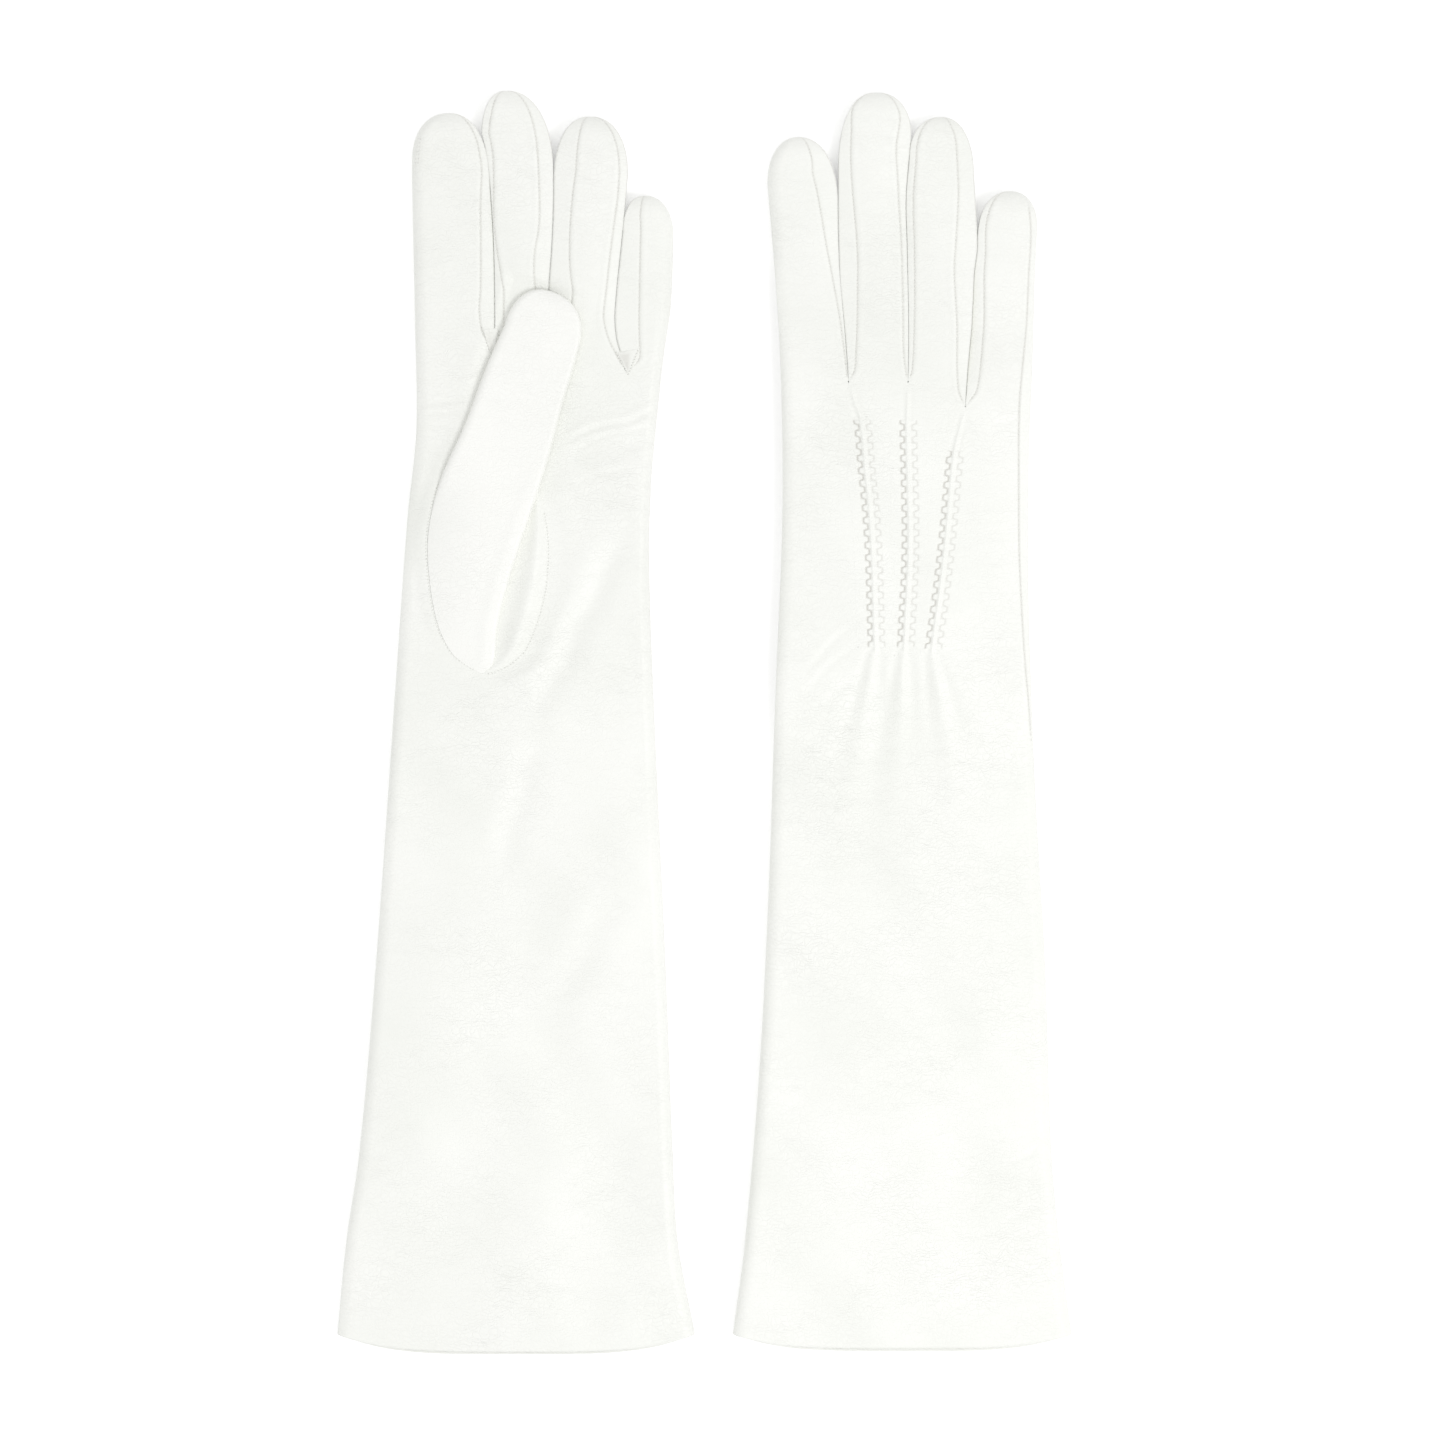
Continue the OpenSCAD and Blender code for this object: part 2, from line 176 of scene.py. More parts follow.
@dataclass(frozen=True)
class Line:
    """A smooth line through a few points, each (y, value)."""

    points: tuple[Point, ...]

    def at(self, y: Array) -> Array:
        """Value of the line.

        Args:
            y: where to read it; beyond its ends the line keeps its end value.

        Returns:
            The value at each y.
        """
        ys = np.array([p[0] for p in self.points], float)
        xs = np.array([p[1] for p in self.points], float)
        before = np.maximum(np.arange(len(ys)) - 1, 0)
        after = np.minimum(np.arange(len(ys)) + 1, len(ys) - 1)
        slopes = (xs[after] - xs[before]) / (ys[after] - ys[before])
        y = np.clip(y, ys[0], ys[-1])
        i = np.clip(np.searchsorted(ys, y, side="left") - 1, 0, len(ys) - 2)
        w = ys[i + 1] - ys[i]
        t = (y - ys[i]) / w
        rise = (3 - 2 * t) * t * t
        bend = (t * (1 - t) ** 2 * slopes[i] - t * t * (1 - t) * slopes[i + 1]) * w
        return (1 - rise) * xs[i] + rise * xs[i + 1] + bend


@dataclass(frozen=True)
class Undulation:
    """Seeded smooth noise over the plane, about -1 to 1."""

    seed: int
    across: float
    along: float

    def at(self, x: Array, y: Array) -> Array:
        """Noise value.

        Args:
            x, y: places across and along the glove.

        Returns:
            The noise at each place.
        """
        lattice = np.random.default_rng(self.seed).uniform(-1, 1, (LATTICE, LATTICE))
        u, v = x / self.across, y / self.along
        i, j = np.floor(u).astype(int), np.floor(v).astype(int)
        a, b = smooth(u - i), smooth(v - j)
        low, high = (lattice[i % LATTICE, (j + k) % LATTICE] * (1 - a)
                     + lattice[(i + 1) % LATTICE, (j + k) % LATTICE] * a for k in (0, 1))
        return low * (1 - b) + high * b


@dataclass(frozen=True)
class Crease:
    """A fine fold in the leather, from one point to another."""

    start: Point
    end: Point
    depth: float = 0.3
    width: float = 0.9

    def at(self, x: Array, y: Array) -> Array:
        """Height that the crease adds.

        Args:
            x, y: places across and along the glove.

        Returns:
            The height, below 0 in the crease and a little above it beside.
        """
        run = np.subtract(self.end, self.start)
        length = math.hypot(*run)
        along = ((x - self.start[0]) * run[0] + (y - self.start[1]) * run[1]) / length
        off = ((y - self.start[1]) * run[0] - (x - self.start[0]) * run[1]) / length
        off = (off + CREASE_WOBBLE * np.sin(along / CREASE_WAVE)) / self.width
        fade = smooth(along / (0.3 * length)) * smooth((length - along) / (0.3 * length))
        return self.depth * fade * (0.3 * bell(off - 1.8) - bell(off))


@dataclass(frozen=True)
class Finger:
    """A finger stall: its name, its tip, the y where each side rounds over, how far each side's seam
    stands off it, and the y of its bend."""

    name: str
    tip: Point
    shoulders: Point
    seams: tuple[Line | None, Line | None]
    bend: float


def sheet(name: str, grid: Array, closed: bool = False, spare: tuple[int, int] = (0, 0),
          crevice: Array | None = None, apex: bool = False,
          shape: Array | None = None) -> bpy.types.Object:
    """Makes a smooth mesh from a grid of points.

    Args:
        name: the piece's name.
        grid: points in millimetres, rows by columns by 3, whose rows run to the left of its columns' way.
        closed: whether the last column joins the first.
        spare: how many rows before and after only serve the shading of the border.
        crevice: a mask of painted shade for every point, 1 where the colour is painted darkest.
        apex: whether the last row is one point.
        shape: the points that the shading follows, where that isn't the grid.

    Returns:
        The new object, linked to the scene.
    """
    shape = grid if shape is None else shape
    across = np.roll(shape, -1, 1) - np.roll(shape, 1, 1)
    if not closed:
        across[:, 0], across[:, -1] = shape[:, 1] - shape[:, 0], shape[:, -1] - shape[:, -2]
    along = np.gradient(shape, axis=0)
    normals = np.cross(across, along)
    kept = slice(spare[0], len(grid) - spare[1])
    rows, cols = grid[kept].shape[:2]
    points, normals = grid[kept].reshape(-1, 3), normals[kept].reshape(-1, 3)
    mask = None if crevice is None else crevice[kept].reshape(-1)
    index = np.arange(rows * cols).reshape(rows, cols)
    if apex:
        top = (rows - 1) * cols
        points, normals = points[:top + 1], normals[:top + 1].copy()
        normals[-1] = (0, 1, 0)
        mask = None if mask is None else mask[:top + 1]
        index = np.minimum(index, top)
    a, b = index[:-1], index[1:]
    if closed:
        quads = np.stack([a, np.roll(a, -1, 1), np.roll(b, -1, 1), b], -1)
    else:
        quads = np.stack([a[:, :-1], a[:, 1:], b[:, 1:], b[:, :-1]], -1)
    faces = [tuple(dict.fromkeys(quad)) for quad in quads.reshape(-1, 4).tolist()]
    return mesh_piece(name, points, faces, normals, mask)


def mesh_piece(name: str, points: Array, faces: list[tuple[int, ...]], normals: Array | None = None,
               crevice: Array | None = None) -> bpy.types.Object:
    """Makes an object in metres from points in millimetres.

    Args:
        name: the piece's name.
        points: its points.
        faces: its faces, each of point numbers.
        normals: the shading normal of each point, or None for the faces' own.
        crevice: a mask of painted shade for each point, or None.

    Returns:
        The new object, linked to the scene.
    """
    mesh = bpy.data.meshes.new(name)
    mesh.from_pydata((points * MM).tolist(), [], faces)
    mesh.update()
    mesh.polygons.foreach_set("use_smooth", np.ones(len(mesh.polygons), bool))
    # The mask of painted shade goes into an attribute, which darkens the leather's colour.
    if crevice is not None:
        layer = mesh.attributes.new("crevice", "FLOAT", "POINT")
        layer.data.foreach_set("value", crevice.astype(np.float32))
    if normals is not None:
        size = np.linalg.norm(normals, axis=1, keepdims=True)
        flat = size[:, 0] < 1e-9
        normals = normals / np.maximum(size, 1e-9)
        normals[flat] = (0, 0, 1)
        mesh.normals_split_custom_set_from_vertices(normals.tolist())
    piece = bpy.data.objects.new(name, mesh)
    bpy.context.scene.collection.objects.link(piece)
    return piece


def join_grids(name: str, parts: list[bpy.types.Object]) -> bpy.types.Object:
    """Joins several sheets into one object.

    Args:
        name: the name of the result.
        parts: the objects, all used up.

    Returns:
        The joined object.
    """
    for part in bpy.context.selected_objects:
        part.select_set(False)
    for part in parts:
        part.select_set(True)
    bpy.context.view_layer.objects.active = parts[0]
    if len(parts) > 1:
        bpy.ops.object.join()
    parts[0].name = name
    parts[0].data.name = name
    return parts[0]


@dataclass
class Thread:
    """Sewing thread: gathers short stitches and makes one mesh of them."""

    radius: float = 0.2
    sides: int = 6
    centres: list[Array] = field(default_factory=list)
    runs: list[Array] = field(default_factory=list)

    def stitch(self, start: Array, end: Array) -> None:
        """Adds one stitch between two points."""
        self.centres.append((np.asarray(start) + np.asarray(end)) / 2)
        self.runs.append(np.asarray(end) - np.asarray(start))

    def sew(self, path: Array, pitch: float, share: float, slant: float = 0.0) -> None:
        """Adds a row of stitches.

        Args:
            path: the points that the row follows.
            pitch: distance between the starts of two stitches.
            share: how much of that distance a stitch takes.
            slant: how far each end of a stitch stands off the row, to the left and to the right.
        """
        steps = np.linalg.norm(np.diff(path, axis=0), axis=1)
        reach = np.concatenate([[0], np.cumsum(steps)])
        for k in range(int(reach[-1] / pitch)):
            ends = np.array([k, k + share]) * pitch
            start, end = np.array([np.interp(ends, reach, path[:, axis]) for axis in range(3)]).T
            way = (end - start) / np.linalg.norm(end - start)
            aside = slant * np.array([way[1], -way[0], 0])
            self.stitch(start - aside, end + aside)

    def piece(self, name: str) -> bpy.types.Object:
        """Makes the mesh.

        Args:
            name: the piece's name.

        Returns:
            The new object.
        """
        n = self.sides
        turn = np.arange(n) * 2 * math.pi / n
        points, faces = [], []
        for centre, run in zip(self.centres, self.runs):
            way = run / np.linalg.norm(run)
            side = np.cross(way, (0, 0, 1) if abs(way[2]) < 0.9 else (1, 0, 0))
            side = side / np.linalg.norm(side)
            around = np.outer(np.cos(turn), side) + np.outer(np.sin(turn), np.cross(side, way))
            first = len(points) * n
            points += [centre + run * t + self.radius * r * around for t, r in STITCH_RINGS]
            for k in range(len(STITCH_RINGS) - 1):
                ring = first + k * n
                turned = [(ring + s, ring + (s + 1) % n) for s in range(n)]
                faces += [(a, b, b + n, a + n) for a, b in turned]
            end = first + (len(STITCH_RINGS) - 1) * n
            faces += [tuple(range(first + n - 1, first - 1, -1)), tuple(range(end, end + n))]
        return mesh_piece(name, np.concatenate(points), faces)


@dataclass
class Glove:
    """One glove: the shapes of its leather, each line and place in millimetres."""

    side: str
    lines: tuple[Line, ...]
    fingers: tuple[Finger, ...]
    crotches: tuple[float, float, float]
    split: float
    sag: float
    palm_face: Face
    arched: bool
    rows_of_points: tuple[Line, ...]
    point_ends: tuple[Point, ...]
    pivot: Point
    creases: tuple[Crease, ...]
    quirks: tuple[tuple[Point, Point, Point], ...]
    side_seam: Line
    side_seam_face: Face
    seed: int
    pleat_leans: tuple[float, float, float]
    dart: tuple[Point, Point] | None = None
    sag_back: float = 1.5

    def line_x(self, i: int, y: Array) -> Array:
        """X of a lengthwise line, which runs on down the palm below its slit.

        Args:
            i: the line, from 0 on the index finger's side to 4.
            y: places along the glove.

        Returns:
            X at each y.
        """
        line = self.lines[i]
        if i in (0, 4):
            return line.at(y)
        low = line.points[0][0]
        left, right = self.lines[0], self.lines[4]
        share = (line.points[0][1] - left.at(low)) / (right.at(low) - left.at(low))
        return np.where(y < low, left.at(y) + share * (right.at(y) - left.at(y)), line.at(y))

    def is_slit(self, f: int, edge: Edge) -> bool:
        """Whether that side of a finger faces its neighbour."""
        return 0 < f + edge < 4

    def crotch(self, f: int, edge: Edge) -> float:
        """Y of the crotch at that side of a finger."""
        return self.crotches[f + edge - 1]

    def edge_x(self, f: int, edge: Edge, y: Array) -> Array:
        """X of a finger's outline.

        Args:
            f: the finger, 0 for the index finger.
            edge: which side of it.
            y: places along it.

        Returns:
            X at each y, on the round cap too.
        """
        finger = self.fingers[f]
        shoulder = finger.shoulders[edge]
        straight = np.minimum(y, shoulder)
        x = self.line_x(f + edge, straight)
        if self.is_slit(f, edge):
            opened = np.clip((straight - self.crotch(f, edge)) / 4, 0, 1)
            x = x + edge.inward * SLIT / 2 * np.sqrt(opened)
        share = np.clip((y - shoulder) / (finger.tip[1] - shoulder), 0, 1)
        return finger.tip[0] + (x - finger.tip[0]) * (1 - share ** CAP_POWER) ** (1 / CAP_POWER)

    def seam_width(self, f: int, edge: Edge, y: Array) -> Array:
        """How wide the side strip shows between a finger's outline and its seam.

        Args:
            f: the finger.
            edge: which side of it.
            y: places along it.

        Returns:
            The width at each y, 0 where there is no side strip.
        """
        line = self.fingers[f].seams[edge]
        if line is None:
            return np.zeros_like(y)
        last = line.points[-1][0]
        half = np.abs(self.edge_x(f, edge, y) - self.fingers[f].tip[0])
        half_last = abs(float(self.edge_x(f, edge, np.array(last))) - self.fingers[f].tip[0])
        width = np.where(y > last, line.points[-1][1] * half / half_last, line.at(y))
        return np.where(y < self.crotch(f, edge) - 0.01, 0.0, np.minimum(width, 0.8 * half))

    def side_share(self, f: int, edge: Edge, x: Array, y: Array) -> Array:
        """How far a finger has swelled to its full height, seen from one side.

        Args:
            f: the finger.
            edge: the side from which it swells.
            x, y: places across and along the glove.

        Returns:
            The share, from 0 at a fold to 1.
        """
        d = np.maximum(edge.inward * (x - self.edge_x(f, edge, y)), 0)
        if not self.is_slit(f, edge):
            return round_over(d, FOLD_R)
        w = self.seam_width(f, edge, y)
        q = np.clip(d / np.maximum(w, 1e-6), 0, 1)
        edge_rise = SEAM_RISE - (SEAM_RISE - EDGE_RISE) * (0.35 + 0.65 * smooth(w / FULL_STRIP))
        flank = edge_rise + (SEAM_RISE - edge_rise) * q ** FLANK_POWER
        crown = SEAM_RISE + (1 - SEAM_RISE) * round_over(d - w, CROWN_REACH)
        depth = smooth((y - self.crotch(f, edge) + SLIT_RUN_IN) / SLIT_RUN)
        return 1 - depth * (1 - np.where(d < w, flank, crown))

    def swell(self, f: int, x: Array, y: Array) -> Array:
        """Share of its full height that a finger, or the hand below it, has.

        Args:
            f: the finger.
            x, y: places across and along the glove.

        Returns:
            The share, from 0 to 1.
        """
        tip = round_over(self.fingers[f].tip[1] - y, TIP_R)
        return self.side_share(f, Edge.OUTER, x, y) * self.side_share(f, Edge.INNER, x, y) * tip

    def levels(self, f: int, y: Array) -> tuple[Array, Array]:
        """Heights of the glove's underside and upper side.

        Args:
            f: the finger, since the little finger comes down to the table sooner.
            y: places along the glove.

        Returns:
            The lower and the upper height at each y.
        """
        low = np.zeros_like(y)
        high = SLEEVE_H - CUFF_FALL * (1 - smooth((y - CUFF_Y) / 140))
        if self.arched:
            (low_end, low_run), (high_end, high_run) = ARCH_ENDS[f == 3]
            rise = smooth((y + 15) / 34)
            low = ARCH_H * rise * smooth((low_end - y) / low_run)
            high = high + (PALM_Z - SLEEVE_H) * rise * smooth((high_end - y) / high_run)
        return low, high

    def thumb_press(self, x: Array, y: Array) -> tuple[Array, Array]:
        """Where the thumb lies on the palm.

        Args:
            x, y: places across and along the glove.

        Returns:
            A mask of the thumb, and how deep the palm gives way under it.
        """
        u, v = Thumb.to_local(self.pivot, x, y)
        right = np.maximum(Thumb.SEAM.at(v), Thumb.RIGHT.at(v)) + 2
        inside = smooth((u - Thumb.LEFT.at(v) + 6) / 5) * smooth((right + 8 - u) / 8)
        mask = inside * smooth((v + 48) / 6) * smooth((Thumb.LENGTH + 5 - v) / 5)
        return mask, THUMB_PRESS * mask * smooth((v - 22) / 15)

    def relief(self, x: Array, y: Array, face: Face, bed: bool = True) -> Array:
        """Height that dents, wrinkles and creases add to a face, outwards.

        Args:
            x, y: places across and along the glove.
            face: which face.
            bed: whether the rows of points have their beds in it.

        Returns:
            The height at each place.
        """
        seed = self.seed + (50 if face is Face.BOTTOM else 0)
        z, ripple = (sum(size * Undulation(seed + k, across, along).at(x + lean * y, y)
                         for k, size, across, along, lean in layers) for layers in (DENTS, RIPPLES))
        z = z + ripple * (0.6 + 0.4 * Undulation(seed + 4, 40, 60).at(x, y))
        if face is Face.BOTTOM:
            z = z * (0.25 if not self.arched else 0.5) - 0.3
        if face is Face.TOP:
            for crease in self.creases:
                z = z + crease.at(x, y)
        if face is self.palm_face:
            mask, dip = self.thumb_press(x, y)
            z = z * (1 - mask) - dip
        else:
            z = z + self.pleats(x, y) - (self.beds(x, y) if bed else 0)
        if face is Face.TOP or not self.arched:
            z = z - 0.5 * self.seam_mask(x, y, face)
        line = CUFF_Y + HEM_DEPTH
        z = z + HEM_RISE * (1 - smooth((y - line + 1.5) / 3)) - 0.08 * bell((y - line - 1) / 1.2)
        return z * smooth((y - CUFF_Y + 12) / 20)

    def pleats(self, x: Array, y: Array) -> Array:
        """Height of the soft folds that fan out below the rows of points.

        Args:
            x, y: places across and along the glove.

        Returns:
            The height at each place.
        """
        z = np.zeros_like(x)
        for line, (bottom, _), lean in zip(self.rows_of_points, self.point_ends, self.pleat_leans):
            dy = np.maximum(bottom - y, 0)
            spread = PLEAT_HALF + PLEAT_FAN * dy
            dx = x - float(line.at(bottom)) - lean * dy + 0.4 * spread
            fan = bell(dx / spread) - 0.6 * bell((dx + 2.1 * spread) / spread)
            fan = fan - 0.5 * bell((dx - 2.3 * spread) / spread)
            z = z + PLEAT_RISE * bell(dy / PLEAT_REACH) * (1 - np.exp(-dy / 4)) * fan
        return z

    def beds(self, x: Array, y: Array) -> Array:
        """Depth of the beds that the rows of points lie in, hidden beneath them.

        Args:
            x, y: places across and along the glove.

        Returns:
            The depth at each place.
        """
        depth = np.zeros_like(x)
        for line, (bottom, _) in zip(self.rows_of_points, self.point_ends):
            off = np.abs(x - line.at(y))
            ends = smooth((y - bottom + 2) / 1.5) * smooth((line.points[-1][0] - 1.6 - y) / 2)
            depth = np.maximum(depth, BED_DEPTH * smooth((BED_HALF - off) / 0.9) * ends)
        return depth

    def height(self, f: int, x: Array, y: Array, face: Face, bed: bool = True) -> Array:
        """Z of a face.

        Args:
            f: the finger, or the part of the hand below it.
            x, y: places across and along the glove.
            face: which face.
            bed: whether the rows of points have their beds in it.

        Returns:
            Z at each place.
        """
        low, high = self.levels(f, y)
        middle = (low + high) / 2
        share = self.swell(f, x, y)
        z = (high - low) / 2 * share + self.relief(x, y, face, bed) * smooth(share / 0.9)
        outer, inner = (self.edge_x(f, edge, y) for edge in Edge)
        crown = np.maximum((x - outer) * (inner - x), 0)
        z = z + CROWN_SWELL * crown * smooth((y - self.split) / 40) * share
        z = z - self.groove(f, x, y)
        lowest = 0.05 - middle
        if face is Face.BOTTOM:
            return middle + np.maximum(-z, lowest)
        return middle + z

    def groove(self, f: int, x: Array, y: Array) -> Array:
        """Depth of the furrows along a finger's seams.

        Args:
            f: the finger.
            x, y: places across and along the glove.

        Returns:
            The depth at each place.
        """
        depth = np.zeros_like(x)
        for edge in Edge:
            if self.is_slit(f, edge):
                d = edge.inward * (x - self.edge_x(f, edge, y)) - self.seam_width(f, edge, y)
                ramp = smooth((y - self.crotch(f, edge)) / 3) * smooth((self.fingers[f].tip[1] - y) / 6)
                lip = 0.14 * bell((d - 1.5) / 0.9)
                depth = depth + ramp * (GROOVE_DEPTH * bell(d / GROOVE_HALF) - lip)
        return depth

    def crevice(self, f: int, x: Array, y: Array) -> Array:
        """Mask of painted shade in the seams' furrows and the slits' depths.

        Args:
            f: the finger.
            x, y: places across and along the glove.

        Returns:
            The mask at each place.
        """
        mask = np.zeros_like(x)
        for edge in Edge:
            if self.is_slit(f, edge):
                d = edge.inward * (x - self.edge_x(f, edge, y))
                ramp = smooth((y - self.crotch(f, edge)) / 3)
                seam = SEAM_SHADE * bell((d - self.seam_width(f, edge, y)) / 0.36)
                mask = np.maximum(mask, ramp * np.maximum(seam, SLIT_SHADE * bell(d / 0.4)))
        return mask

    def seam_off(self, y: Array) -> Array:
        """Distance of the side seam from the little finger's fold."""
        return np.clip(self.edge_x(3, Edge.INNER, y) - self.side_seam.at(y), 0.9, 6.0)

    def seam_mask(self, x: Array, y: Array, face: Face) -> Array:
        """Mask of the side seam's furrow: it deepens the furrow, and it is painted shade along it."""
        low, high = self.side_seam.points[0][0], self.side_seam.points[-1][0]
        ends = smooth((y - low) / 6) * smooth((high - y) / 6)
        return SIDE_SHADE * ends * bell((x - self.side_seam.at(y)) / 0.4) * (face is self.side_seam_face)

    def columns(self, f: int, y: Array) -> Array:
        """X of the columns of a finger's panel, from seam to seam, closer together at seams and folds.

        Args:
            f: the finger.
            y: the rows.

        Returns:
            Rows by columns.
        """
        low = self.edge_x(f, Edge.OUTER, y) + self.seam_width(f, Edge.OUTER, y)
        high = self.edge_x(f, Edge.INNER, y) - self.seam_width(f, Edge.INNER, y)
        fold = FOLD_R * (1 - np.cos(np.linspace(0, math.pi / 2, 9)))
        steps = [np.array(SLIT_COLUMNS) if self.is_slit(f, edge) else fold for edge in Edge]
        left, right = (np.broadcast_to(step, (len(y), len(step))) for step in steps)
        if f == 3:
            seam = self.seam_off(y)[:, None] + np.array(SEAM_COLUMNS)
            right = np.sort(np.concatenate([right[:, :-1], seam, np.full((len(y), 1), SEAM_REACH)], 1), 1)
        scale = np.clip((high - low) / FULL_PANEL, 0, 1)[:, None]
        left, right = low[:, None] + left * scale, high[:, None] - right[:, ::-1] * scale
        t = np.linspace(0, 1, PANEL_COLUMNS)[None, 1:-1]
        return np.concatenate([left, left[:, -1:] * (1 - t) + right[:, :1] * t, right], 1)

    def panel_grid(self, f: int, y: Array, face: Face, bed: bool = True) -> Array:
        """Points of a finger's panel, or of the hand below it.

        Args:
            f: the finger.
            y: the rows.
            face: the face that the panel is on.
            bed: whether the rows of points have their beds in it.

        Returns:
            Rows by columns by 3.
        """
        x = self.columns(f, y)
        rows = np.broadcast_to(y[:, None], x.shape)
        return np.stack([x, rows, self.height(f, x, rows, face, bed)], -1)

    def droop(self, grid: Array, face: Face) -> Array:
        """Lets the rows near the cuff sag to its curved edge.

        Args:
            grid: points of the sleeve.
            face: the face that they are on.

        Returns:
            The changed points.
        """
        x, y = grid[..., 0], grid[..., 1]
        share = (x - self.lines[0].at(y)) / (self.lines[4].at(y) - self.lines[0].at(y))
        sag = self.sag if face is Face.BOTTOM else self.sag - self.sag_back
        curve = 1 - np.clip(np.abs(2 * share - 1), 0, 1) ** 4
        drop = sag * curve * (1 - smooth((y - CUFF_Y) / CUFF_SAG_REACH))
        return np.stack([x, y - drop, grid[..., 2]], -1)

    def tube(self, y: Array, inset: float = 0.0, bed: bool = True) -> Array:
        """Closed rings of the sleeve and hand.

        Args:
            y: the rows.
            inset: how far inside the outer surface they lie.
            bed: whether the rows of points have their beds in it.

        Returns:
            Rows by columns by 3, round each ring.
        """
        parts = {}
        for face in Face:
            panels = [self.panel_grid(f, y, face, bed)[:, min(f, 1):] for f in range(4)]
            parts[face] = self.droop(np.concatenate(panels, 1), face)
        ring = np.concatenate([parts[Face.TOP], parts[Face.BOTTOM][:, -2:0:-1]], 1)
        if inset:
            middle = (ring.max(1) + ring.min(1))[:, None] / 2
            half = ring.max(1)[:, None, 0] - middle[..., 0]
            x, z = ring[..., 0] - middle[..., 0], ring[..., 2] - middle[..., 2]
            ring[..., 0] = middle[..., 0] + x * (1 - inset / half)
            ring[..., 2] = middle[..., 2] + np.sign(z) * np.maximum(np.abs(z) - inset, 0.02)
        return ring

    def trank(self) -> bpy.types.Object:
        """Makes the arm and hand up to the foot of the fingers.

        Returns:
            The piece.
        """
        fine = np.arange(FINE_HAND_Y, self.split + ROW / 2, ROW)
        fine = fine + self.split - fine[-1]
        y = np.concatenate([np.arange(CUFF_Y, fine[0] - 0.4, SLEEVE_ROW), fine, [self.split + ROW]])
        grid = self.tube(y)
        face = self.side_seam_face
        upper = (grid[..., 2] > np.mean(grid[..., 2], 1, keepdims=True)) == (face is Face.TOP)
        # Painted shade along the side seam's furrow, on the face that carries the seam.
        mask = np.where(upper, self.seam_mask(grid[..., 0], grid[..., 1], face), 0)
        piece = sheet(f"{self.side}_trank", grid, closed=True, spare=(0, 1), crevice=mask,
                      shape=self.tube(y, bed=False))
        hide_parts(f"{self.side}_sleeve", f"{self.side}_hand")
        return self.wrist_blend(piece)

    def wrist_blend(self, piece: bpy.types.Object) -> bpy.types.Object:
        """Bakes a piece's place into its points, for a piece between the sleeve and the hand."""
        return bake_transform(piece)

    def cuff(self) -> bpy.types.Object:
        """Makes the rolled edge of the cuff and the hem that is turned in.

        Returns:
            The piece.
        """
        mouth = np.array([CUFF_Y, CUFF_Y + 1.0])
        outer = self.tube(mouth)[0]
        rows = []
        for turn in np.linspace(0, math.pi, 7):
            ring = self.tube(mouth, LEATHER * (1 - math.cos(turn)) + 1e-4)[0]
            ring[:, 1] = outer[:, 1] - LEATHER * 0.9 * math.sin(turn)
            rows.append(ring)
        inside = self.tube(np.arange(CUFF_Y + 1.5, CUFF_Y + HEM_DEPTH, 1.5), 2 * LEATHER)
        end = self.tube(np.array([CUFF_Y + HEM_DEPTH, CUFF_Y + HEM_DEPTH + 0.4]), 0.9 * LEATHER)
        piece = sheet(f"{self.side}_cuff_hem", np.concatenate([rows, inside, end])[:, ::-1], closed=True)
        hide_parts(f"{self.side}_hem")
        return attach(piece, f"{self.side}_sleeve")

    def flesh_side(self) -> bpy.types.Object:
        """Makes the suede inner face of the arm and hand."""
        y = np.arange(CUFF_Y + HEM_DEPTH - 2, self.split - 3, 2 * SLEEVE_ROW)
        grid = self.tube(y, LEATHER)[:, ::-1]
        return self.wrist_blend(sheet(f"{self.side}_flesh_side", grid, closed=True))

    def finger_rows(self, f: int, start: float) -> Array:
        """Rows along a finger, closer together at the tip.

        Args:
            f: the finger.
            start: y of the first row.

        Returns:
            Y of each row.
        """
        tip = self.fingers[f].tip[1]
        straight = np.arange(start, tip - TIP_REACH + 1e-6, ROW)
        turn = np.linspace(0, math.pi / 2, TIP_ROWS)[1:]
        reach = tip - straight[-1]
        return np.concatenate([straight, straight[-1] + reach * np.sin(turn)])

    def finger_blend(self, piece: bpy.types.Object) -> bpy.types.Object:
        """Bakes a piece's place into its points, for a piece between the hand and a finger."""
        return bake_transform(piece)

    def panel(self, f: int) -> bpy.types.Object:
        """Makes the front and back of a finger, in one round an outer fold.

        Args:
            f: the finger.

        Returns:
            The piece.
        """
        y = self.finger_rows(f, self.split - ROW)
        sides = []
        for face in (Face.TOP, Face.BOTTOM):
            grid = self.panel_grid(f, y, face)
            # Painted shade in the seams' furrows and the slits, and along the side seam on the little
            # finger.
            mask = self.crevice(f, grid[..., 0], grid[..., 1])
            if f == 3:
                mask = np.maximum(mask, self.seam_mask(grid[..., 0], grid[..., 1], face))
            shape = self.panel_grid(f, y, face, bed=False)
            sides.append(np.concatenate([grid, shape, mask[..., None]], -1))
        top, bottom = sides
        name = f"{self.side}_{self.fingers[f].name}_panel"
        if f == 0:
            grids = [np.concatenate([bottom[:, :0:-1], top], 1)]
        elif f == 3:
            grids = [np.concatenate([top, bottom[:, -2::-1]], 1)]
        else:
            grids = [top, bottom[:, ::-1]]
        parts = [sheet(name, g[..., :3], spare=(1, 0), apex=True, crevice=g[..., 6], shape=g[..., 3:6])
                 for g in grids]
        piece = join_grids(name, parts)
        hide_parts(f"{self.side}_{self.fingers[f].name}_end")
        return self.finger_blend(piece)

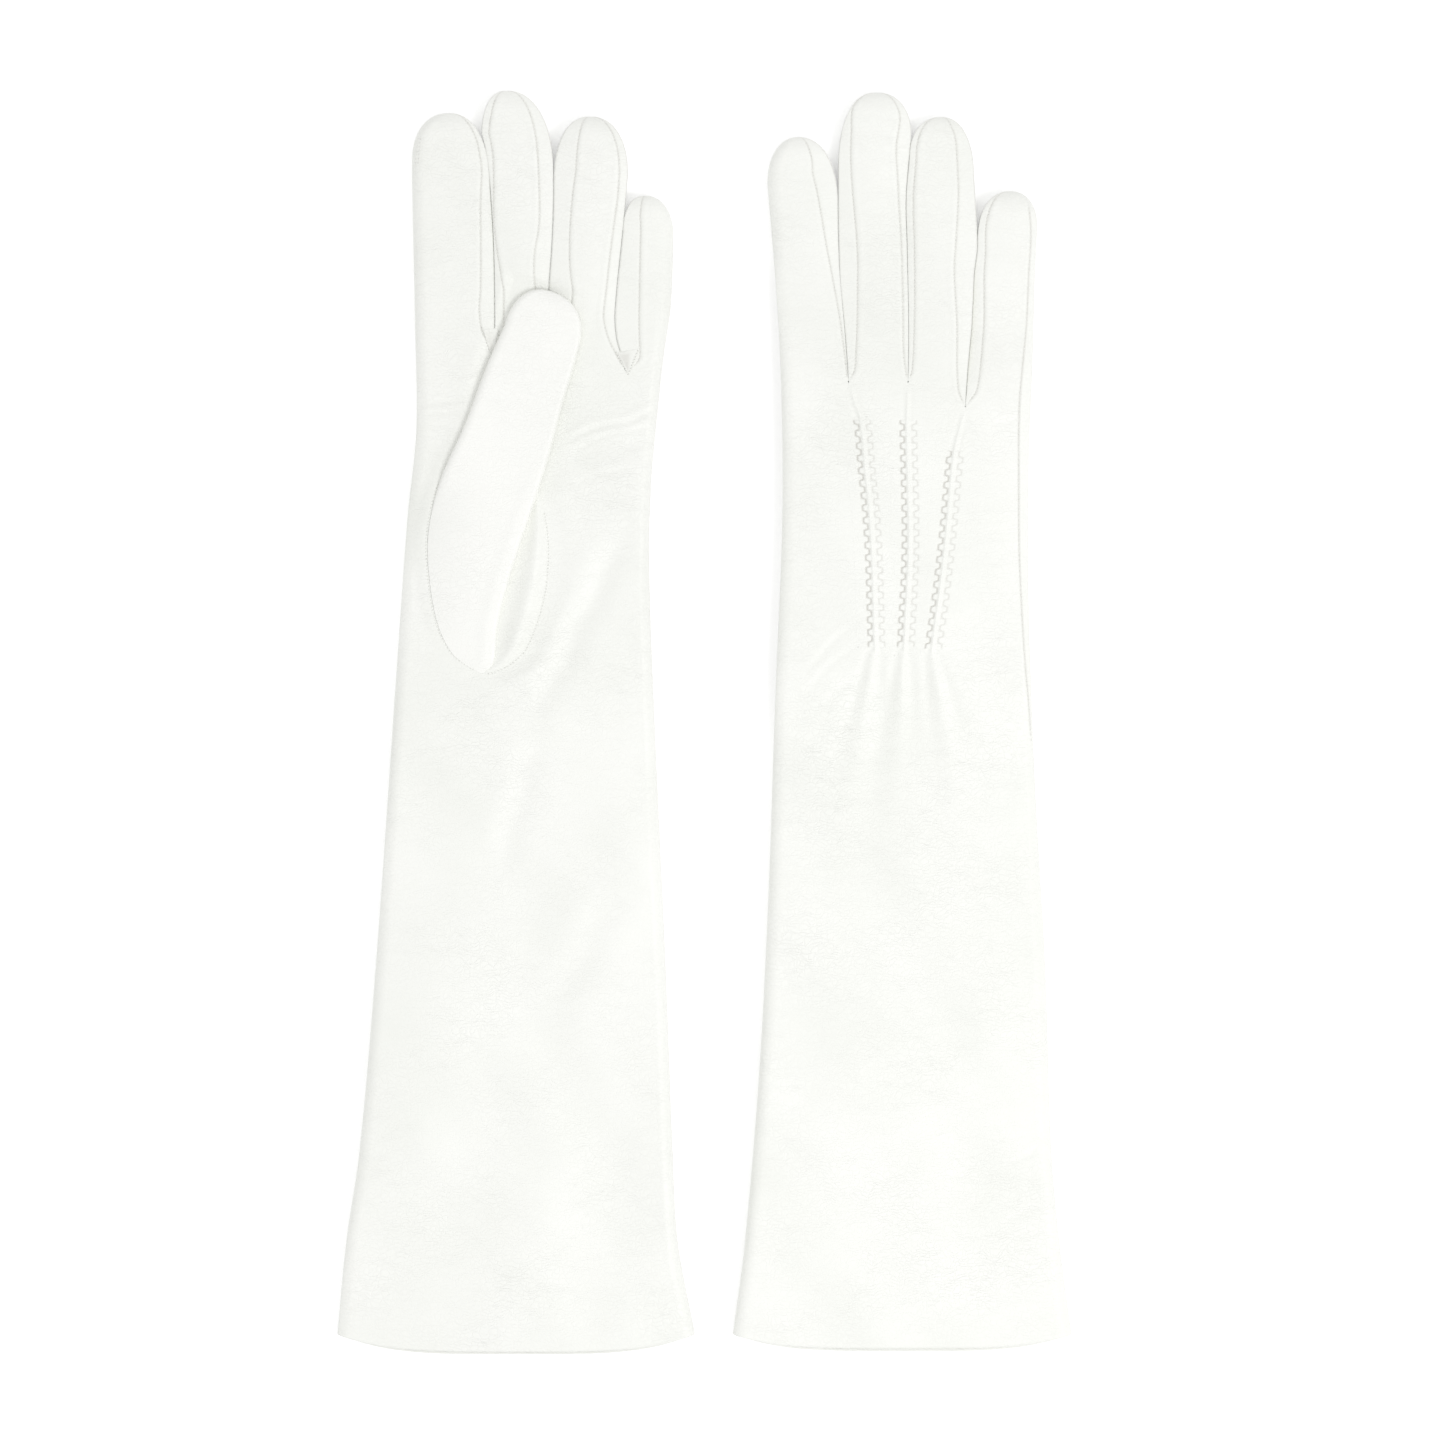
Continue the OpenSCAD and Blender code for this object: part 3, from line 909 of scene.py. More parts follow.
    def fourchette(self, f: int, edge: Edge) -> bpy.types.Object:
        """Makes the strip that is one side of a finger, from the seam on top to the seam below.

        Args:
            f: the finger.
            edge: which side of it.

        Returns:
            The piece.
        """
        y = self.finger_rows(f, self.crotch(f, edge))[:, None]
        outline, width = self.edge_x(f, edge, y), self.seam_width(f, edge, y)
        q = np.concatenate([np.linspace(1, 0.85, 4)[:-1], np.linspace(0.85, 0, 9)])[None]
        x = outline + edge.inward * width * q
        rows = np.broadcast_to(y, x.shape)
        top = np.stack([x, rows, self.height(f, x, rows, Face.TOP)], -1)
        bottom = np.stack([x, rows, self.height(f, x, rows, Face.BOTTOM)], -1)[:, ::-1]
        t = np.linspace(0, 1, 7)[None, 1:-1, None]
        wall = top[:, -1:] * (1 - t) + bottom[:, :1] * t
        grid = np.concatenate([top, wall, bottom], 1)
        # Painted shade in the seams' furrows and the slit.
        mask = self.crevice(f, grid[..., 0], grid[..., 1])
        if edge is Edge.OUTER:
            grid, mask = grid[:, ::-1], mask[:, ::-1]
        finger = self.fingers[f].name
        letter = "" if f in (0, 3) else "_a" if edge is Edge.OUTER else "_b"
        piece = sheet(f"{self.side}_{finger}_side_strip{letter}", grid, apex=True, crevice=mask)
        nodes = [f"{self.side}_{finger}_fourchette{letter}"]
        if edge is Edge.INNER:
            nodes.append(f"{self.side}_fork_{finger}_{self.fingers[f + 1].name}")
        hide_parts(*nodes)
        return self.finger_blend(piece)

    def finger_seams(self, f: int) -> bpy.types.Object:
        """Sews a finger's panels to its side strips, on both faces.

        Args:
            f: the finger.

        Returns:
            The stitches.
        """
        thread = Thread()
        for edge in Edge:
            if not self.is_slit(f, edge):
                continue
            y = np.linspace(self.crotch(f, edge) + 2, self.fingers[f].tip[1] - 1.2, 160)
            x = self.edge_x(f, edge, y) + edge.inward * (self.seam_width(f, edge, y) + 0.12)
            for face in Face:
                z = self.height(f, x, y, face) + THREAD_LIFT * face.value
                path = np.stack([x, y, np.maximum(z, 1.1 * thread.radius)], -1)
                thread.sew(path, STITCH_PITCH, STITCH_SHARE, STITCH_SLANT)
        if f == 0 and self.dart:
            (top_x, top_y), (low_x, low_y) = self.dart
            y = np.linspace(low_y, top_y, 40)
            for off in (-0.5, 0.5):
                x = np.interp(y, [low_y, top_y], [low_x, top_x]) + off
                path = np.stack([x, y, self.height(f, x, y, Face.TOP) + THREAD_LIFT], -1)
                thread.sew(path, 1.5, STITCH_SHARE)
        piece = thread.piece(f"{self.side}_{self.fingers[f].name}_stitches")
        return self.finger_blend(piece)

    def height_any(self, x: Array, y: Array, face: Face, bed: bool = True) -> Array:
        """Z of a face where it isn't known which finger's part of the hand a place is on.

        Args:
            x, y: places across and along the glove.
            face: which face.
            bed: whether the rows of points have their beds in it.

        Returns:
            Z at each place.
        """
        z = self.height(0, x, y, face, bed)
        for f in range(1, 4):
            z = np.where(x > self.line_x(f, y), self.height(f, x, y, face, bed), z)
        return z

    def point(self, i: int) -> bpy.types.Object:
        """Makes a row of points: a raised tuck between two rows of square hand stitches.

        Args:
            i: the row, 0 next to the index finger.

        Returns:
            The piece.
        """
        face = Face.BOTTOM if self.palm_face is Face.TOP else Face.TOP
        line, (bottom, top) = self.rows_of_points[i], self.point_ends[i]
        last = line.points[-1][0]
        y = np.arange(bottom - PATCH_FOOT, last, PATCH_ROW)[:, None]
        middle = line.at(y)
        half = [np.full_like(y, PATCH_HALF), np.full_like(y, PATCH_HALF)]
        for edge, other in ((0, i - 1), (1, i + 1)):
            if 0 <= other < len(self.rows_of_points):
                half[edge] = np.minimum(half[edge], np.abs(self.rows_of_points[other].at(y) - middle) / 2)
        spread = np.linspace(0, 1, 5)[1:]
        fine = np.linspace(-PATCH_FINE, PATCH_FINE, PATCH_COLUMNS)
        b = np.concatenate([-PATCH_FINE - (half[0] - PATCH_FINE) * spread[::-1],
                            np.broadcast_to(fine, (len(y), PATCH_COLUMNS)),
                            PATCH_FINE + (half[1] - PATCH_FINE) * spread], 1)
        x = middle + b
        rows = np.broadcast_to(y, x.shape)
        # The mask is painted shade in the square furrows.
        height, mask = PointRow(bottom, top, last).profile(y, b)
        z = self.height_any(x, rows, face, bed=False) + face.value * (height + 0.012)
        grid = np.stack([x, rows, np.maximum(z, 0.03)], -1)
        if face is Face.BOTTOM:
            grid, mask = grid[:, ::-1], mask[:, ::-1]
        piece = sheet(f"{self.side}_points_{POINT_NAMES[i]}", grid, crevice=mask)
        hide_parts(f"{self.side}_point_{POINT_NAMES[i]}")
        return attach(piece, f"{self.side}_hand")

    def quirk(self, i: int) -> list[bpy.types.Object]:
        """Makes the small gusset at a crotch on the palm side, and sews its edges.

        Args:
            i: the crotch, 0 between index and middle finger.

        Returns:
            The gusset and its stitches.
        """
        face, up, lift = self.palm_face, self.palm_face.value, 0.2
        corners = np.array(self.quirks[i])
        ends = self.height_any(corners[:, 0], corners[:, 1], face)
        t, s = np.linspace(0, 1, QUIRK_ROWS)[:, None], np.linspace(0, 1, QUIRK_ROWS)[None]
        x, y, plane = ((c[0] * (1 - s) + c[1] * s) * t + c[2] * (1 - t) for c in (*corners.T, ends))
        rim = np.minimum(np.minimum(s, 1 - s) * t * 2, 1 - t)
        under = self.height_any(x, y, face)
        z = up * np.maximum(up * plane + 0.1, up * under + 0.12)
        grid = np.stack([x, y, np.where(rim < 1e-6, under - up * 0.3, z)], -1)[1:]
        # Painted shade on the gusset, strongest at the ring and little finger's crotch and towards one
        # corner, where the pocket's shadow falls.
        mask = (0.6 if i == 2 else 0.3) * smooth(rim / 0.25)[1:] * smooth((1 - s) * 2.4 - 0.5)
        if face is Face.BOTTOM:
            grid, mask = grid[:, ::-1], mask[:, ::-1]
        gap = GAPS[i]
        patch = sheet(f"{self.side}_quirk_{gap}_patch", grid, crevice=mask)
        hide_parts(f"{self.side}_quirk_{gap}")
        thread = Thread()
        outline = np.column_stack([corners, ends + up * lift])[[0, 2, 1]]
        for start, end in zip(outline[:-1], outline[1:]):
            path = start + np.linspace(0, 1, 20)[:, None] * (end - start)
            floor = up * self.height_any(path[:, 0], path[:, 1], face) + lift
            path[:, 2] = up * np.maximum(up * path[:, 2], floor)
            thread.sew(path, 1.2, STITCH_SHARE, STITCH_SLANT)
        sewn = thread.piece(f"{self.side}_quirk_{gap}_stitches")
        return [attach(patch, f"{self.side}_hand"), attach(sewn, f"{self.side}_hand")]

    def side_stitches(self) -> list[bpy.types.Object]:
        """Sews the long seam on the little finger's side.

        Returns:
            The stitches of the arm and hand, and those of the finger.
        """
        pieces = []
        low, high = self.side_seam.points[0][0], self.side_seam.points[-1][0]
        face = self.side_seam_face
        for part, start, end in (("arm", low, self.split), ("little", self.split + 0.5, high)):
            y = np.arange(start, end, 0.8)
            x = self.side_seam.at(y)
            thread = Thread(radius=0.19)
            z = np.maximum(self.height(3, x, y, face) + 0.1 * face.value, 1.1 * thread.radius)
            thread.sew(np.stack([x, y, z], -1), 1.9, STITCH_SHARE)
            piece = thread.piece(f"{self.side}_side_seam_{part}")
            pieces.append(self.wrist_blend(piece) if part == "arm" else self.finger_blend(piece))
        return pieces


@dataclass(frozen=True)
class PointRow:
    """Cross-section of a row of points: a tuck between two furrows that run in square steps.

    It goes from the row's lower end to where its tuck fades out at the crotch; the furrows end sooner.
    """

    bottom: float
    top: float
    last: float
    pitch: float = 4.7
    steepness: float = 2.6
    tuck_height: float = 0.5
    tuck_half: float = 0.62
    furrow_depth: float = 0.34
    furrow_half: float = 0.33
    near: tuple[float, float] = (1.25, 1.7)
    far: tuple[float, float] = (2.75, 3.4)
    # Per side, how deep the furrows are and how much painted shade they get: the left side gets more, as
    # if lit from the right.
    depth_and_painted_shade: tuple[float, float] = (1.0, 0.5)

    def profile(self, y: Array, b: Array) -> tuple[Array, Array]:
        """Height over the leather and the mask of painted shade in the furrows.

        Args:
            y: rows along the glove.
            b: distance from the tuck's middle line.

        Returns:
            Height and mask, rows by columns.
        """
        sewn = smooth((y - self.bottom) / 0.8) * smooth((self.top - y) / 0.8)
        wave = 2 * math.pi * (y - self.bottom) / self.pitch
        steep = self.steepness * np.sin(wave)
        tooth = 0.5 + 0.5 * np.tanh(steep)
        rise = self.steepness * math.pi / self.pitch * np.cos(wave) / np.cosh(steep) ** 2
        fade = smooth((y - self.bottom + 2.5) / 2.5) * (1 - 0.4 * smooth((y - self.top) / 9))
        fade = fade * smooth((self.last - y) / 5)
        height = self.tuck_height * bell(b / self.tuck_half) * fade
        height = height - 0.12 * bell((np.abs(b) - 1.6) / 0.7) * fade * (1 - sewn)
        mask = np.zeros_like(b)
        for side, near, far, depth_and_painted_shade in zip((-1, 1), self.near, self.far, self.depth_and_painted_shade):
            off = (side * b - near - (far - near) * tooth) / np.sqrt(1 + ((far - near) * rise) ** 2)
            furrow = sewn * bell(off / self.furrow_half) * (side * b > 0)
            step = (0.16 * sewn * smooth(-off / 0.8) - self.furrow_depth * furrow) * depth_and_painted_shade
            height = height + step * (side * b > 0)
            mask = mask + furrow * depth_and_painted_shade
        return height, mask


@dataclass
class Thumb:
    """A thumb folded over its palm, with its gusset. Its own axes are u across it and v along it."""

    glove: Glove
    LEFT = Line(((-42.3, 8.5), (-40.5, 2.8), (-37.9, -2.5), (-30, -9.6), (-15.9, -16.6), (3.4, -22.4),
                 (23.6, -22.9), (48, -18.8), (71.5, -16.1), (91, -12.7)))
    RIGHT = Line(((-42.3, 10.5), (-37.7, 13.6), (-24, 11.9), (-8.9, 11.8), (7.8, 12.8), (30.9, 14.5),
                  (45, 15.2), (65, 15.4), (76, 16), (91, 16.2)))
    SEAM = Line(((-42.3, 11.5), (-40, 15.6), (-36, 20), (-28.8, 24.2), (-9.7, 25.9), (5.5, 23.9),
                 (16.6, 20.6), (30, 14.4)))
    LENGTH = 104.4
    TIP_U = -0.6
    FOOT = -42.3
    LEAN = math.radians(14)
    CAP_V = 88.0
    ROW = 1.2
    COLUMNS = 45
    FOOT_REACH = 12.0
    TIP_REACH = 16.0
    FOOT_ROUND = 15.0
    LEFT_ROUND = 3.0
    RIGHT_ROUND = 1.6
    TIP_ROUND = 6.0
    RIDGE = 0.35

    @classmethod
    def to_local(cls, pivot: Point, x: Array, y: Array) -> tuple[Array, Array]:
        """Turns places on the glove into the thumb's own u and v.

        Args:
            pivot: the middle of the thumb's foot.
            x, y: places across and along the glove.

        Returns:
            u and v.
        """
        dx, dy = x - pivot[0], y - pivot[1]
        c, s = math.cos(cls.LEAN), math.sin(cls.LEAN)
        return dx * c - dy * s, dx * s + dy * c

    def place(self, u: Array, v: Array, z: Array) -> Array:
        """Puts points that are given over the palm into the glove's frame.

        Args:
            u: across the thumb.
            v: along the thumb.
            z: height over the palm.

        Returns:
            The points.
        """
        c, s = math.cos(self.LEAN), math.sin(self.LEAN)
        x = self.glove.pivot[0] + u * c + v * s
        y = self.glove.pivot[1] - u * s + v * c
        if self.glove.palm_face is Face.TOP:
            return np.stack([x, y, SLEEVE_H + z], -1)
        return np.stack([x, y, np.maximum(ARCH_H - z, 0.05)], -1)

    def side_u(self, line: Line, v: Array) -> Array:
        """U of the thumb's outline, on its round cap too."""
        share = np.clip((v - self.CAP_V) / (self.LENGTH - self.CAP_V), 0, 1)
        u = line.at(np.minimum(v, self.CAP_V))
        return self.TIP_U + (u - self.TIP_U) * (1 - share ** CAP_POWER) ** (1 / CAP_POWER)

    def rows(self) -> Array:
        """Rows along the thumb, closer together at both ends.

        Returns:
            V of each row.
        """
        close = 1 - np.sin(np.linspace(0, math.pi / 2, 18)[1:])
        foot, tip = self.FOOT + self.FOOT_REACH, self.LENGTH - self.TIP_REACH
        middle = np.arange(foot, tip, self.ROW)[1:]
        return np.concatenate([self.FOOT + self.FOOT_REACH * close[::-1], middle,
                               self.LENGTH - self.TIP_REACH * close])

    def surface(self, v: Array, t: Array, face: Face) -> Array:
        """Height of the thumb over the palm.

        Args:
            v: rows along it.
            t: share of the way across it.
            face: its upper face or the one that lies on the palm.

        Returns:
            Rows by columns.
        """
        left, right = self.side_u(self.LEFT, v), self.side_u(self.RIGHT, v)
        u = left + (right - left) * t
        full = 1.0 + (THUMB_H - 2.6) * smooth((v + 46) / 54)
        full = full * round_over(v - self.FOOT, self.FOOT_ROUND)
        free = smooth((v - 10) / 26)
        base = full * ((1 - t) * 0.3 * free + t * (0.22 + 0.06 * free))
        flank = (1 - free) * pillow(u - left, 17) + free * round_over(u - left, self.LEFT_ROUND)
        swell = flank * round_over(right - u, self.RIGHT_ROUND)
        swell = swell * round_over(self.LENGTH - v, self.TIP_ROUND)
        if face is Face.BOTTOM:
            return base * (1 - swell) + swell * (0.15 - 0.9 * (1 - free)) - 0.5 * (1 - free) * swell
        seed = self.glove.seed + 90
        dents = 0.35 * Undulation(seed, 15, 34).at(u, v) - 0.3
        dents = dents + 0.1 * Undulation(seed + 1, 13, 6).at(u, v)
        ridge = self.RIDGE * bell((right - u - 4.5) / 2.4) * smooth((50 - v) / 40)
        return base + (full + ridge - base + dents * smooth((v + 30) / 30)) * swell

    def stall(self) -> bpy.types.Object:
        """Makes the thumb's stall.

        Returns:
            The piece.
        """
        v = self.rows()[:, None]
        even = np.linspace(0, 1, self.COLUMNS)[None]
        t = 0.45 * (0.5 - 0.5 * np.cos(math.pi * even)) + 0.55 * even
        left, right = self.side_u(self.LEFT, v), self.side_u(self.RIGHT, v)
        u = left + (right - left) * t
        rows = np.broadcast_to(v, u.shape)
        top = self.place(u, rows, self.surface(v, t, Face.TOP))
        bottom = self.place(u, rows, self.surface(v, t, Face.BOTTOM))
        ring = np.concatenate([top, bottom[:, -2:0:-1]], 1)
        if self.glove.palm_face is Face.BOTTOM:
            ring = ring[:, ::-1]
        side = self.glove.side
        piece = sheet(f"{side}_thumb_stall", ring, closed=True, apex=True)
        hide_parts(f"{side}_thumb")
        return self.bend(piece)

    def bend(self, piece: bpy.types.Object) -> bpy.types.Object:
        """Bakes a piece's place into its points, for a piece between the hand and the thumb.

        Args:
            piece: the piece.

        Returns:
            The same piece.
        """
        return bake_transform(piece)

    def gusset(self) -> bpy.types.Object:
        """Makes the part of the thumb's leather that lies beside its crease.

        Returns:
            The piece.
        """
        v = np.linspace(-41.5, 29.8, 60)[:, None]
        q = np.linspace(0, 1, 22)[None]
        start = self.RIGHT.at(v) - 2.5
        u = start + (self.SEAM.at(v) - start) * q
        rise = 2.7 * smooth((v + 42.5) / 16) * smooth((34 - v) / 26)
        z = rise * (0.02 + 0.9 * bell((q - 0.68) / 0.26)) * round_over(1 - q, 0.42)
        grid = self.place(u, np.broadcast_to(v, u.shape), z - 0.12 * (q > 0.99))
        if self.glove.palm_face is Face.BOTTOM:
            grid = grid[:, ::-1]
        piece = sheet(f"{self.glove.side}_thumb_gusset_panel", grid)
        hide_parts(f"{self.glove.side}_thumb_gusset")
        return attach(piece, f"{self.glove.side}_hand")

    def stitches(self) -> bpy.types.Object:
        """Sews the oval seam that sets the thumb into the palm.

        Returns:
            The stitches.
        """
        thread = Thread(radius=0.17)
        v = np.linspace(self.FOOT + 0.3, 24, 90)
        for line, out in ((self.LEFT, -0.4), (self.SEAM, 0.4)):
            path = self.place(line.at(v) + out, v, np.full_like(v, 0.05))
            thread.sew(path, STITCH_PITCH, STITCH_SHARE, 0.15)
        piece = thread.piece(f"{self.glove.side}_thumb_stitches")
        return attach(piece, f"{self.glove.side}_hand")


def socket(group: bpy.types.NodeTree, name: str, kind: str, way: str, value: float | None = None) -> None:
    """Adds a named socket to a node group, with its usual value."""
    made = group.interface.new_socket(name=name, in_out=way, socket_type=kind)
    if value is not None:
        made.default_value = value


class Wiring:
    """Adds nodes to a tree and joins them, with short calls."""

    def __init__(self, tree: bpy.types.NodeTree) -> None:
        """Takes the tree to work in."""
        self.tree = tree
        self.link = tree.links.new

    def node(self, kind: str, inputs: dict[str | int, object] | None = None,
             **settings: object) -> bpy.types.Node:
        """Adds a node.

        Args:
            kind: Blender's name of the node.
            inputs: for each input, by name or number, a value or another node's output.
            **settings: the node's own settings.

        Returns:
            The node.
        """
        node = self.tree.nodes.new(kind)
        for name, value in settings.items():
            setattr(node, name, value)
        for name, value in (inputs or {}).items():
            if isinstance(value, bpy.types.NodeSocket):
                self.link(value, node.inputs[name])
            else:
                node.inputs[name].default_value = value
        return node

    def math(self, operation: str, a: Input, b: Input, clamp: bool = False) -> bpy.types.NodeSocket:
        """Adds a Math node and returns its output."""
        return self.node("ShaderNodeMath", {0: a, 1: b}, operation=operation, use_clamp=clamp).outputs[0]

    def noise(self, vector: Input, scale: Input, detail: float = 2.0) -> bpy.types.NodeSocket:
        """Adds a noise texture and returns its value."""
        inputs = {"Vector": vector, "Scale": scale, "Detail": detail}
        return self.node("ShaderNodeTexNoise", inputs).outputs["Fac"]

    def stretch(self, vector: Input, x: float, y: float, z: float) -> bpy.types.NodeSocket:
        """Scales a vector along each axis and returns it."""
        return self.node("ShaderNodeMapping", {"Vector": vector, "Scale": (x, y, z)}).outputs[0]

    def mix(self, factor: Input, a: object, b: object) -> bpy.types.NodeSocket:
        """Mixes two colours, each a value or an output, and returns the result."""
        return self.node("ShaderNodeMix", {"Factor": factor, 6: a, 7: b}, data_type="RGBA").outputs[2]

    def bump(self, height: Input, distance: float) -> bpy.types.NodeSocket:
        """Turns a height into a normal and returns it."""
        inputs = {"Height": height, "Distance": distance, "Strength": 1.0}
        return self.node("ShaderNodeBump", inputs).outputs[0]


def leather_grain() -> bpy.types.NodeTree:
    """Makes the node group of the leather's grain.

    Returns:
        A group that puts out the grain's height and the mask of its furrows.
    """
    group = bpy.data.node_groups.new("leather_grain", "ShaderNodeTree")
    socket(group, "Vector", "NodeSocketVector", "INPUT")
    socket(group, "Pore Scale", "NodeSocketFloat", "INPUT", 2100)
    socket(group, "Crackle", "NodeSocketFloat", "INPUT", 1.0)
    socket(group, "Height", "NodeSocketFloat", "OUTPUT")
    socket(group, "Furrows", "NodeSocketFloat", "OUTPUT")
    w = Wiring(group)
    given = w.node("NodeGroupInput")
    place, crackle = given.outputs["Vector"], given.outputs["Crackle"]
    warp = w.node("ShaderNodeTexNoise", {"Vector": place, "Scale": 160.0, "Detail": 2.0}).outputs["Color"]
    push = w.node("ShaderNodeVectorMath", {0: warp, "Scale": 0.006}, operation="SCALE").outputs[0]
    bent = w.node("ShaderNodeVectorMath", {0: place, 1: push}, operation="ADD").outputs[0]
    cells = w.stretch(bent, 340, 760, 400)
    cracks = w.node("ShaderNodeTexVoronoi", {"Vector": cells, "Scale": 1.0}, feature="DISTANCE_TO_EDGE")
    edge = cracks.outputs[0]
    crack = w.math("SUBTRACT", 1.0, w.math("MULTIPLY", edge, 6.0, clamp=True), clamp=True)
    patches = w.math("MULTIPLY", w.math("SUBTRACT", w.noise(place, 30.0), 0.1), 1.4, clamp=True)
    crack = w.math("MULTIPLY", w.math("MULTIPLY", crack, patches), crackle)
    ripples = w.noise(w.stretch(bent, 60, 420, 160), 1.0, 3.0)
    pores = w.noise(place, given.outputs["Pore Scale"], 1.0)
    height = w.math("ADD", w.math("MULTIPLY", pores, 0.22), w.math("MULTIPLY", ripples, 0.9))
    height = w.math("SUBTRACT", height, w.math("MULTIPLY", crack, 0.42))
    w.node("NodeGroupOutput", {"Height": height, "Furrows": crack})
    return group


def soft_stain() -> bpy.types.NodeTree:
    """Makes the node group of soft uneven tone, as undyed skin and cotton have; on the leather its broad
    patches are also painted light and shade.

    Returns:
        A group that puts out a mask.
    """
    group = bpy.data.node_groups.new("soft_stain", "ShaderNodeTree")
    socket(group, "Vector", "NodeSocketVector", "INPUT")
    socket(group, "Patch Scale", "NodeSocketFloat", "INPUT", 22)
    socket(group, "Mask", "NodeSocketFloat", "OUTPUT")
    w = Wiring(group)
    given = w.node("NodeGroupInput")
    broad = w.noise(given.outputs["Vector"], given.outputs["Patch Scale"], 4.0)
    mask = w.math("MULTIPLY", w.math("SUBTRACT", broad, 0.35), 2.8, clamp=True)
    w.node("NodeGroupOutput", {"Mask": mask})
    return group


@dataclass(frozen=True)
class Finish:
    """A stuff in two tones, mixed in soft patches: uneven tone, and on the leather partly painted light
    and shade.
    """

    name: str
    light: Colour
    shade: Colour

    def start(self, groups: dict[str, bpy.types.NodeTree],
              patch_scale: float) -> tuple[Wiring, bpy.types.Node, Input, Input]:
        """Starts the material.

        Args:
            groups: the shared node groups.
            patch_scale: how fine the patches are.

        Returns:
            Its wiring, its shader, the place on the object and the mixed tone.
        """
        material = bpy.data.materials.new(self.name)
        material.use_nodes = True
        w = Wiring(material.node_tree)
        place = w.node("ShaderNodeTexCoord").outputs["Object"]
        stain_and_painted_shading_node = w.node("ShaderNodeGroup", node_tree=groups["soft_stain"])
        w.link(place, stain_and_painted_shading_node.inputs["Vector"])
        stain_and_painted_shading_node.inputs["Patch Scale"].default_value = patch_scale
        # Mixes the light and the shade tone in patches: uneven tone, and on the leather painted light and
        # shade as well.
        tone = w.mix(stain_and_painted_shading_node.outputs["Mask"], (*self.light, 1), (*self.shade, 1))
        return w, material.node_tree.nodes["Principled BSDF"], place, tone


@dataclass(frozen=True)
class KidLeather(Finish):
    """White kid skin: its smooth dressed outside or its suede inside."""

    # The colour that seams, slits, furrows and gussets are painted towards, as painted shade.
    crevice: Colour
    roughness: float
    relief: float
    crackle: float
    pore_scale: float
    gloss: float

    def build(self, groups: dict[str, bpy.types.NodeTree]) -> bpy.types.Material:
        """Makes the material.

        Args:
            groups: the shared node groups.

        Returns:
            The material.
        """
        w, surface, place, tone = self.start(groups, 22)
        grain = w.node("ShaderNodeGroup", node_tree=groups["leather_grain"])
        w.link(place, grain.inputs["Vector"])
        grain.inputs["Pore Scale"].default_value = self.pore_scale
        grain.inputs["Crackle"].default_value = self.crackle
        height = grain.outputs["Height"]
        # Painted shade: the colour darkens towards the painted shade colour wherever the mesh's mask says
        # so, in seams, slits, furrows and gussets. The grain's cracks darken it a little too.
        seams = w.node("ShaderNodeAttribute", attribute_name="crevice").outputs["Fac"]
        cracks_and_painted_shade = w.math("ADD", w.math("MULTIPLY", grain.outputs["Furrows"], 0.09), seams, clamp=True)
        w.link(w.mix(cracks_and_painted_shade, tone, (*self.crevice, 1)), surface.inputs["Base Color"])
        rough = w.math("ADD", w.math("MULTIPLY", height, 0.12), self.roughness - 0.06)
        w.link(rough, surface.inputs["Roughness"])
        w.link(w.bump(height, self.relief), surface.inputs["Normal"])
        surface.inputs["Specular IOR Level"].default_value = self.gloss
        return bpy.data.materials[self.name]


@dataclass(frozen=True)
class SewingThread(Finish):
    """Twisted cotton thread."""

    def build(self, groups: dict[str, bpy.types.NodeTree]) -> bpy.types.Material:
        """Makes the material.

        Args:
            groups: the shared node groups.

        Returns:
            The material.
        """
        w, surface, place, tone = self.start(groups, 900)
        w.link(tone, surface.inputs["Base Color"])
        wave = {"Vector": place, "Scale": 900.0, "Distortion": 1.5}
        twist = w.node("ShaderNodeTexWave", wave, bands_direction="DIAGONAL").outputs["Fac"]
        w.link(w.bump(twist, 0.00006), surface.inputs["Normal"])
        surface.inputs["Roughness"].default_value = 0.8
        surface.inputs["Sheen Weight"].default_value = 0.2
        return bpy.data.materials[self.name]


